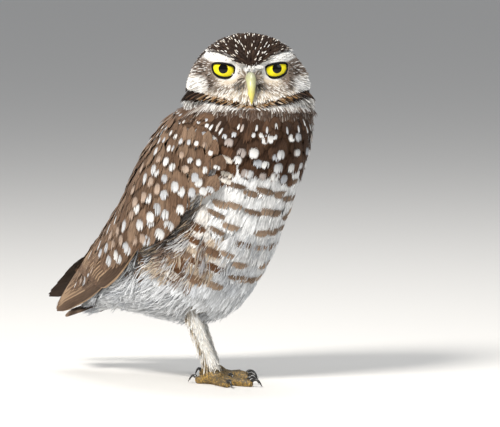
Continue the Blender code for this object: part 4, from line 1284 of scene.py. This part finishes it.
def wing_paint(kind, turn, share, rng):
    """Brown coverts with a pale spot each, or flight feathers with pale edges."""
    count = len(turn)
    paint = plain_paint(count)
    chance, other = rng.random(count), rng.random(count)
    ground = mixed(mixed(WING_BROWN, WING_DARK, chance), WING_PALE, 0.75 * other**2)
    if kind == "covert":
        # spots range from white to grey, the grey partly painted shade
        paint["mark"] = mixed(mixed(WHITE, GREY_DOWN_AND_SHADE, 0.75 * other), SPOT_BUFF, 0.8 * (chance > 0.76))
        near_back = 1 - rise_to(turn, 46, 20)
        small = 1 - rise_to(share, 0.14, 0.12)
        half = rng.uniform(0.25, 0.33, count) * (1 - 0.52 * near_back) * (1 - 0.30 * small)
        spotted = 0.84 + 0.16 * rise_to(turn, 94, 8) - 0.06 * small - 0.30 * near_back
        half *= rng.random(count) < spotted - 0.22 * rise_to(share, 0.62, 0.15)
        long = rng.uniform(0.165, 0.205, count) * (1 - 0.28 * small)
        paint["spot"] = stacked(0.0, half, rng.uniform(0.74, 0.82, count), long)
    elif kind == "far primary":
        # Painted shade: the far wing's primaries near black where they lie in shade
        ground = mixed(ground, FLIGHT_DARK_AND_SHADE, np.full(count, 0.94))
    else:
        ground = mixed(ground, WING_DARK, np.full(count, 0.4))
        # the lowest secondaries darker along the wing's lower margin: partly their own dark edge, partly
        # painted shade
        ground = mixed(ground, FLIGHT_DARK_AND_SHADE, 0.3 * (turn > 83) * (kind == "secondary"))
        paint["mark"][:] = linear(FLIGHT_EDGE)
        paint["spot"] = stacked(0.5, rng.uniform(0.07, 0.14, count), 0.5, 3.0)
    paint["ground"] = varied(ground, rng, 0.08)
    return paint


def grow_wing(side_name, seed):
    rng = np.random.default_rng(seed)
    surface = wing_surface(side_name)
    roll = 0.22 if side_name == "right" else -0.22
    for n, (count, root_a, root_b, tip_a, tip_b, outreach, half, kind) in enumerate(FLIGHT_TIERS):
        share = np.linspace(0, 1, count)[:, None]
        roots = np.array(root_a) + (np.array(root_b) - np.array(root_a)) * share
        tips = np.array(tip_a) + (np.array(tip_b) - np.array(tip_a)) * share
        tips[:, 0] += outreach * np.sin(math.pi * share[:, 0]) + rng.uniform(-0.004, 0.004, count)
        turn = tips[:, 1].copy()
        roots[:, 1], tips[:, 1] = np.radians(roots[:, 1]), np.radians(tips[:, 1])
        shape = {"seed": seed, "camber": 0.12, "roll": roll, "ragged": 0.05, "sweep": 0.25}
        # the far wing's primaries take the near-black painted shade
        dark = side_name == "left" and kind == "primary"
        paint = wing_paint("far primary" if dark else kind, turn, share[:, 0], rng)
        paint["cells"] = bake_cells(surface(tips[:, 0], tips[:, 1]), FLIGHT_CELL)
        widths = half * rng.uniform(0.95, 1.06, count)
        made = vanes(f"flight_{side_name}_{n}", surface, roots, tips, widths, paint, shape)
        dressed(made, wing_plumage, "plumage_brown")
        if n == 0:
            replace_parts(made, f"wing_{side_name}")
    grow_coverts(side_name, seed, surface, rng)


def grow_coverts(side_name, seed, surface, rng):
    """Rows of coverts that hang down across the wing, and along it by its front edge."""
    ts, angles, shares = [], [], []
    for row in range(COVERT_ROWS):
        share = row / (COVERT_ROWS - 1)
        t = COVERT_T[0] + (COVERT_T[1] - COVERT_T[0]) * share**0.94
        front, back = wing_edges(max(t, 0.10))
        full = min(share / 0.3, 1.0)
        step = math.degrees((0.0056 + 0.0034 * full) / line_rows(WING_LINE, np.array(t))[4])
        turns = np.arange(back - 2 + 0.5 * step * (row % 2), front + 1, step)
        ts.append(np.full(len(turns), t))
        angles.append(turns)
        shares.append(np.full(len(turns), share))
    t, turn, share = (np.concatenate(k) for k in (ts, angles, shares))
    t = t + rng.normal(0, 0.005, len(t))
    turn = turn + rng.normal(0, 1.6, len(t))
    height = surface(t, np.radians(turn))[:, 2]
    front = wing_edges(np.maximum(t, 0.10))[0]
    covered = front - 3 - 15 * rise_to(t, 0.52, 0.24)
    keep = turn < covered + rng.normal(0, 1.0, len(t))
    keep &= (height > 0.056) & (height < 0.187 - 0.006 * rise_to(turn, 60, 30))
    keep &= t < (0.80 if side_name == "left" else 1.0)
    t, turn, share, front = t[keep], turn[keep], share[keep], front[keep]
    count = len(t)
    full = np.minimum(share / 0.3, 1.0)
    far = rise_to(t, 0.72, 0.30)
    size = (0.0120 + 0.0090 * full - 0.0040 * far) * rng.uniform(0.92, 1.08, count)
    inside = np.clip((front - turn) / 30, 0, 1)
    size *= 1 - 0.32 * (1 - np.clip(2.5 * inside, 0, 1)) * (1 - rise_to(t, 0.22, 0.12))
    hang = (-2 + 15 * inside) * size / 0.020
    here, out, _ = surface_frame(surface, t, np.radians(turn))
    ahead = unit(surface(t + size / WING_LINE_LENGTH * 0.85, np.radians(turn + hang)) - here)
    ahead = along_surface(ahead, out)
    paint = wing_paint("covert", turn, share, rng)
    paint["cells"] = bake_cells(here, COVERT_CELL)
    curl = np.full(count, 0.19)
    lift = (0.0021 - size**2 / WING_BEND) / size + curl
    half = (0.0036 + 0.0026 * full - 0.0014 * far) * rng.uniform(0.94, 1.06, count)
    name = f"coverts_{side_name}"
    sunk = here - out * 0.0016
    made = fanned(name, sunk, ahead, out, size, half, lift, curl, paint, seed, 15, COVERT_CELL)
    dressed(made, soft_plumage, "plumage_brown")


def grow_tail():
    """Twelve short feathers with pale bars, the middle pair uppermost."""
    count = 12
    rng = np.random.default_rng(61)
    place = (np.arange(count) + 0.5) / count * 2 - 1
    fan = TAIL_FAN * place
    ahead = stacked(np.sin(fan), np.cos(fan) * math.cos(TAIL_SLOPE), -math.sin(TAIL_SLOPE))
    up = unit(stacked(0.28 * place, math.sin(TAIL_SLOPE), math.cos(TAIL_SLOPE)))
    roots = TAIL_ROOT + stacked(0.0075 * place, 0.0, 0.0) - up * 0.0046 * np.abs(place)[:, None]
    length = TAIL_LENGTH * (1 - 0.07 * place**2)
    stations = np.linspace(0, 1, 14)
    sag = np.full(count, -0.02)
    spines, ups = bent_spines(roots, unit(ahead), up, length, np.zeros(count), sag, stations)
    taper = np.minimum(0.45 + 0.9 * stations, 1.0) * np.clip((1 - stations) / 0.14, 0, 1) ** 0.5
    half = np.full((count, 1), 0.0064) * np.maximum(taper, 0.05)
    paint = plain_paint(count)
    paint["ground"] = varied(mixed(WING_BROWN, FLIGHT_DARK_AND_SHADE, np.full(count, 0.72)), rng, 0.08)
    paint["mark"][:] = linear(WING_PALE)
    paint["bars"] = stacked(np.full(count, 4.0), 0.1, 0.7, 0.4)
    paint["cells"] = bake_cells(roots, TAIL_CELL)
    shape = {"seed": 61, "camber": 0.1, "ragged": 0.05, "sweep": 0.2}
    name = "tail_feathers"
    tail = feather_mesh(name, spines, ups, half, VANE_THICKNESS, VANE_RING, shape, paint, TAIL_CELL)
    return dressed(tail, wing_plumage, "plumage_brown", "tail")


def grow_legs(skin):
    """Short bristly feathers down the shank, dark at the ankle and tan behind."""
    rng = np.random.default_rng(81)

    def spacing(points):
        return np.where((points[:, 2] < 0.062) & (points[:, 2] > 0.006), 0.00095, 0.0)

    roots, out = scatter(skin, spacing, 81)
    middle = ANKLE_BACK * 0.6
    away = [np.hypot(roots[:, 0] - x, roots[:, 1] - y - middle) for x, y in FEET.values()]
    near = np.minimum(*away) < 0.020
    roots, out = roots[near], out[near]
    count = len(roots)
    paint = plain_paint(count)
    ankle = 1 - rise_to(np.abs(roots[:, 2] - 0.052), 0.006, 0.006)
    behind = rise_to(out[:, 1], 0.15, 0.6)
    tan = np.clip(0.25 + behind, 0, 0.9) * (rng.random(count) > 0.5)
    ground = mixed(SHANK_WHITE, SHANK_TAN, tan)
    paint["ground"] = varied(mixed(ground, SHANK_GREY, ankle * 0.6), rng, 0.12)
    paint["cells"] = bake_cells(roots, HAIR_CELL)
    length = 0.0046 * rng.uniform(0.7, 1.4, count)
    width = 0.00036 * rng.uniform(0.8, 1.2, count)
    length = length * (1 + 0.5 * behind * (1 - rise_to(roots[:, 2], 0.030, 0.02)))
    lift = rng.uniform(0.20, 0.40, count) + 0.35 * behind
    curl = np.full(count, 0.12)
    sunk, lie = roots - out * 0.0003, coat_lie(roots, out)
    made = locks("shank_coat", sunk, lie, out, length, width, lift, curl, paint, 82, 0.00014)
    return dressed(made, bristle, "shank")


# Eyes, lids and bill
def build_eye(side_name):
    """An eyeball turned from its profile, with the pupil, iris and dark rim as rings."""
    s = 1 if side_name == "left" else -1
    pupil, iris = math.asin(PUPIL_RADIUS / EYE_RADIUS), math.asin(IRIS_RADIUS / EYE_RADIUS)
    angles = [0.0, pupil * 0.5, pupil * 0.97, pupil * 1.03]
    angles += [pupil + (iris - pupil) * k for k in (0.2, 0.4, 0.6, 0.8, 0.97, 1.03)]
    angles += [iris + (math.pi - iris) * k for k in (0.15, 0.3, 0.45, 0.6, 0.8, 1.0)]
    bm = bmesh.new()
    verts = [bm.verts.new((EYE_RADIUS * math.sin(a), -EYE_RADIUS * math.cos(a), 0.0)) for a in angles]
    profile = verts + [bm.edges.new(pair) for pair in zip(verts, verts[1:])]
    full = 2 * math.pi
    bmesh.ops.spin(bm, geom=profile, cent=(0, 0, 0), axis=(0, 1, 0), angle=full, steps=48, use_merge=True)
    bmesh.ops.remove_doubles(bm, verts=bm.verts[:], dist=1e-6)
    bmesh.ops.recalc_face_normals(bm, faces=bm.faces[:])
    # spin leaves its elements in an order that changes from run to run
    for rank, vert in enumerate(sorted(bm.verts, key=lambda vert: tuple(vert.co))):
        vert.index = rank
    for rank, face in enumerate(sorted(bm.faces, key=lambda face: tuple(face.calc_center_median()))):
        face.index = rank
    bm.verts.sort()
    bm.faces.sort()

    def off_axis(place):
        return math.acos(max(-1.0, min(1.0, -place.y / place.length)))

    uv = bm.loops.layers.uv.new("iris")
    for face in bm.faces:
        off = off_axis(face.calc_center_median())
        face.material_index = 0 if off < pupil else 1 if off < iris else 2
        for loop in face.loops:
            place = loop.vert.co / EYE_RADIUS * 0.5
            in_front = off_axis(place) < 1.4
            loop[uv].uv = (place.x + 0.5, place.z + 0.5) if in_front else (0.5, 0.5)
    bmesh.ops.rotate(bm, verts=bm.verts[:], matrix=Matrix.Rotation(s * EYE_OUTWARD, 3, "Z"))
    bmesh.ops.translate(bm, verts=bm.verts[:], vec=(s * EYE_X, EYE_Y, EYE_Z))
    on_body = Matrix.Translation(HEAD_AT) @ Matrix.Rotation(HEAD_TURN, 4, "Z")
    bmesh.ops.transform(bm, matrix=on_body, verts=bm.verts[:])
    obj = piece_from(bm, f"eyeball_{side_name}")
    for finish in eye_finishes:
        obj.data.materials.append(finish)
    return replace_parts(obj, f"eye_{side_name}")


def eye_materials():
    """Wet eye: black pupil, lemon iris with fine spokes and a dark outer edge, black beyond."""
    pupil, _, _ = material("black pupil under the cornea", {
        "Base Color": rgba("#030303"),
        "Roughness": 0.4,
        "Specular IOR Level": 0.0,
        "Coat Weight": 0.5,
        "Coat Roughness": 0.02,
    })
    rim, _, _ = material("dark edge of the eye", {
        "Base Color": rgba("#0b0906"),
        "Roughness": 0.15,
        "Coat Weight": 1.0,
        "Coat Roughness": 0.03,
    })
    iris, tree, shader = material("lemon yellow iris under the cornea", {
        "Roughness": 0.45,
        "Specular IOR Level": 0.1,
        "Coat Weight": 0.5,
        "Coat Roughness": 0.02,
    })
    uv = node(tree, "UVMap", uv_map="iris")
    centred = node(tree, "VectorMath", {0: uv, 1: (0.5, 0.5, 0.0)}, operation="SUBTRACT")
    reach = node(tree, "VectorMath", {0: centred}, operation="LENGTH").outputs["Value"]
    parts = node(tree, "SeparateXYZ", {0: centred}).outputs
    turn = node(tree, "Math", {0: parts[0], 1: parts[1]}, operation="ARCTAN2")
    turned = node(tree, "Math", {0: turn, 1: 9.0}, operation="MULTIPLY")
    outward = node(tree, "Math", {0: reach, 1: 3.0}, operation="MULTIPLY")
    swirl = node(tree, "CombineXYZ", {0: turned, 1: outward})
    spokes = node(tree, "TexNoise", {"Vector": swirl, "Scale": 2.2, "Detail": 3.0})
    inner, outer = PUPIL_RADIUS / (EYE_RADIUS * 2), IRIS_RADIUS / (EYE_RADIUS * 2)
    ramp = node(tree, "ValToRGB", {0: reach})
    set_stops(ramp.color_ramp.elements, (
        (inner, "#c2a80a"),
        (outer, "#15120a"),
        (inner * 1.12, "#f2df16"),
        (outer * 0.88, "#f6e824"),
        (outer * 0.97, "#8a7a10"),
    ))
    fleck = node(tree, "MapRange", {"Value": spokes, "To Min": 0.78, "To Max": 1.08})
    tinted = node(tree, "Mix", {0: 1.0, 6: ramp, 7: fleck}, data_type="RGBA", blend_type="MULTIPLY")
    feed(shader, {"Base Color": tinted.outputs[2]})
    return pupil, iris, rim


def lid_outline(s):
    """Points round the opening between the lids, lying on the lid."""
    turn = s * EYE_OUTWARD
    axis = np.array((math.sin(turn), -math.cos(turn), 0.0))
    across = np.array((math.cos(turn), math.sin(turn), 0.0))
    a = np.arange(LID_POINTS) * 2 * math.pi / LID_POINTS
    x = LID_HALF_WIDTH * np.cos(a)
    z = lid_height(x, np.sin(a) > 0) * np.sign(np.sin(a)) + LID_SLOPE * x * s
    forward = np.sqrt((EYE_RADIUS + 0.0006) ** 2 - x**2 - z**2)
    points = np.array((s * EYE_X, EYE_Y, EYE_Z)) + axis * forward[:, None] + across * x[:, None]
    points[:, 2] += z
    return from_head(points)


def build_lids():
    """The bare black edges of the lids, finely wrinkled and dull."""
    bm = bmesh.new()
    turns = np.arange(10) * 2 * math.pi / 10
    for s in (-1, 1):
        path = lid_outline(s)
        middle = from_head((s * EYE_X, EYE_Y, EYE_Z))
        ahead = unit(np.roll(path, -1, axis=0) - np.roll(path, 1, axis=0))
        out = along_surface(path - middle, ahead)
        rings = []
        for place, beside, up in zip(path, np.cross(ahead, out), out):
            ring = np.outer(np.cos(turns), beside) + 0.8 * np.outer(np.sin(turns), up)
            rings.append(place + LID_RIM * ring)
        add_loft(bm, rings, closed_ring=True)
    bmesh.ops.recalc_face_normals(bm, faces=bm.faces[:])
    finish, tree, shader = material("bare black eyelid skin", {
        "Base Color": rgba("#0a0807"),
        "Roughness": 0.55,
        "Specular IOR Level": 0.15,
    })
    roughened(tree, shader, 2.5, 0.1 * MM)
    return dressed(piece_from(bm, "lid_rims"), finish, "eye")


def refined(name, nodes):
    """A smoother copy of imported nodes, with their corners merged and subdivided."""
    bm = bmesh.new()
    for source in nodes:
        add_node_copy(bm, source)
    obj = piece_from(bm, name)
    rounder = obj.modifiers.new("rounder", "SUBSURF")
    rounder.levels = 2
    rounder.render_levels = 2
    return obj


def build_bill():
    """Horn: grey-green at the base, clear yellow along the ridge and at the tip."""
    finish, tree, shader = material("horn of the bill", {
        "Roughness": 0.38,
        "Coat Weight": 0.25,
        "Coat Roughness": 0.2,
    })
    place = node(tree, "TexCoord").outputs["Object"]
    height = node(tree, "SeparateXYZ", {0: place}).outputs[2]
    top, tip = HEAD_AT[2] + 0.017, HEAD_AT[2] - 0.006
    down = node(tree, "MapRange", {"Value": height, "From Min": top, "From Max": tip})
    stops = ((0.0, "#939478"), (1.0, "#d2bb4a"), (0.35, "#b7b887"), (0.62, "#cdc466"))
    ramp = node(tree, "ValToRGB", {0: down})
    set_stops(ramp.color_ramp.elements, stops)
    growth = roughened(tree, shader, 0.42, 0.1 * MM, 3.0)
    tone = node(tree, "MapRange", {"Value": growth, "To Min": 0.85, "To Max": 1.08})
    tinted = node(tree, "Mix", {0: 1.0, 6: ramp, 7: tone}, data_type="RGBA", blend_type="MULTIPLY")
    feed(shader, {"Base Color": tinted.outputs[2]})
    for name in ("upper", "lower"):
        dressed(refined(f"bill_{name}_horn", [f"bill_{name}"]), finish, "bill_horn", f"bill_{name}")


def build_claws():
    """Black horn with a dull polish and a fine grain."""
    finish, tree, shader = material("black claw horn", {
        "Base Color": rgba("#17140f"),
        "Roughness": 0.3,
        "Coat Weight": 0.3,
        "Coat Roughness": 0.2,
    })
    roughened(tree, shader, 0.9, 0.1 * MM)
    names = sorted(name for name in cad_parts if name.startswith("claw_"))
    return dressed(refined("claws", names), finish, "claw_horn", *names)


def build_toes():
    """Toe skin with pebbled scales raised in the mesh, dark in the grooves between them."""
    bm = bmesh.new()
    for side_name in SIDES:
        add_node_copy(bm, f"foot_{side_name}")
    bm = remeshed(bm, TOE_VOXEL, TOE_ROUNDS)
    points, normals = vertex_arrays(bm)
    edge = np.zeros(len(points))
    for i, point in enumerate(points):
        distances, _ = noise.voronoi(Vector(point) * (SCALES_PER_MM / MM))
        edge[i] = distances[1] - distances[0]
    raised = smooth(edge / 0.30)
    clear = smooth(points[:, 2] / 0.0006)
    points = points + normals * ((raised - 0.6) * SCALE_HEIGHT * clear)[:, None]
    set_points(bm, points)
    obj = piece_from(bm, "toe_skin")
    blotch = np.array([noise.noise(Vector(p) * (BLOTCHES_PER_MM / MM)) for p in points]) * 0.5 + 0.5
    upper = smooth((normals[:, 2] - 0.1) / 0.7)
    shade = (1 - raised) * 0.80 + 0.60 * rise_to(blotch, 0.52, 0.24) + 0.42 * upper
    set_colours(obj.data, "ground", mixed(TOE_OCHRE, TOE_DARK, np.clip(shade, 0, 0.94)))
    finish, tree, shader = material("scaly toe skin", {"Roughness": 0.6})
    feed(shader, {"Base Color": node(tree, "Attribute", attribute_name="ground")})
    roughened(tree, shader, 3.0, 0.08 * MM)
    return dressed(obj, finish, "toe_skin", "foot_right", "foot_left")


# Making everything
skin_bm = build_skin()
skin = skin_arrays(skin_bm)
build_skin_piece(skin_bm)
grow_head(skin)
grow_body()
grow_wing("right", 51)
grow_wing("left", 52)
grow_tail()
grow_legs(skin)
eye_finishes = eye_materials()
build_eye("right")
build_eye("left")
build_lids()
build_bill()
build_claws()
build_toes()

# Floor, lights and camera
AIM = Vector((0.0, 0.0, 0.1166)) + Vector(PLACE)
CAMERA_TURN, CAMERA_RISE = -55, 5
CAMERA_LENS, SENSOR_WIDTH = 400.0, 36.0
FRAME_WIDTH = 0.340
FLOOR_HALF_WIDTH = 6.0
# name, degrees round the bird and up, distance, width, watts, colour
SOFTBOXES = (
    ("key", -92, 46, 1.6, 0.45, 36.0, (1.0, 0.97, 0.93)),
    ("fill", -15, 22, 1.8, 1.0, 6.0, (0.88, 0.94, 1.0)),
    ("top", 120, 70, 1.6, 0.9, 12.0, (1.0, 1.0, 1.0)),
)


def aimed(name, data, turn, rise, distance):
    """Stands a camera or a light that far from the bird, and aims it at the bird's middle."""
    turn, rise = math.radians(turn), math.radians(rise)
    way = Vector((math.sin(turn) * math.cos(rise), -math.cos(turn) * math.cos(rise), math.sin(rise)))
    obj = add_object(name, data)
    obj.location = AIM + way * distance
    obj.rotation_euler = (-way).to_track_quat("-Z", "Y").to_euler()
    return obj


floor_bm = bmesh.new()
bmesh.ops.create_grid(floor_bm, x_segments=1, y_segments=1, size=FLOOR_HALF_WIDTH)
floor = add_object("floor", mesh_from(floor_bm, "floor"))
paper, _, _ = material("pale studio paper", {"Base Color": rgba("#d9d7d3"), "Roughness": 0.9})
floor.data.materials.append(paper)

lens = bpy.data.cameras.new("camera")
lens.lens = CAMERA_LENS
lens.sensor_width = SENSOR_WIDTH
lens.clip_start = 0.1
lens.clip_end = 60.0
distance = FRAME_WIDTH * CAMERA_LENS / SENSOR_WIDTH
bpy.context.scene.camera = aimed("camera", lens, CAMERA_TURN, CAMERA_RISE, distance)

for name, turn, rise, distance, width, power, colour in SOFTBOXES:
    light = bpy.data.lights.new(name, "AREA")
    light.shape = "DISK"
    light.size = width
    light.energy = power
    light.color = colour
    aimed(name, light, turn, rise, distance)

world = bpy.data.worlds.new("studio")
world.use_nodes = True
feed(world.node_tree.nodes["Background"], {0: (0.92, 0.95, 1.0, 1.0), 1: 0.40})
bpy.context.scene.world = world
bpy.context.scene.view_settings.view_transform = "Standard"
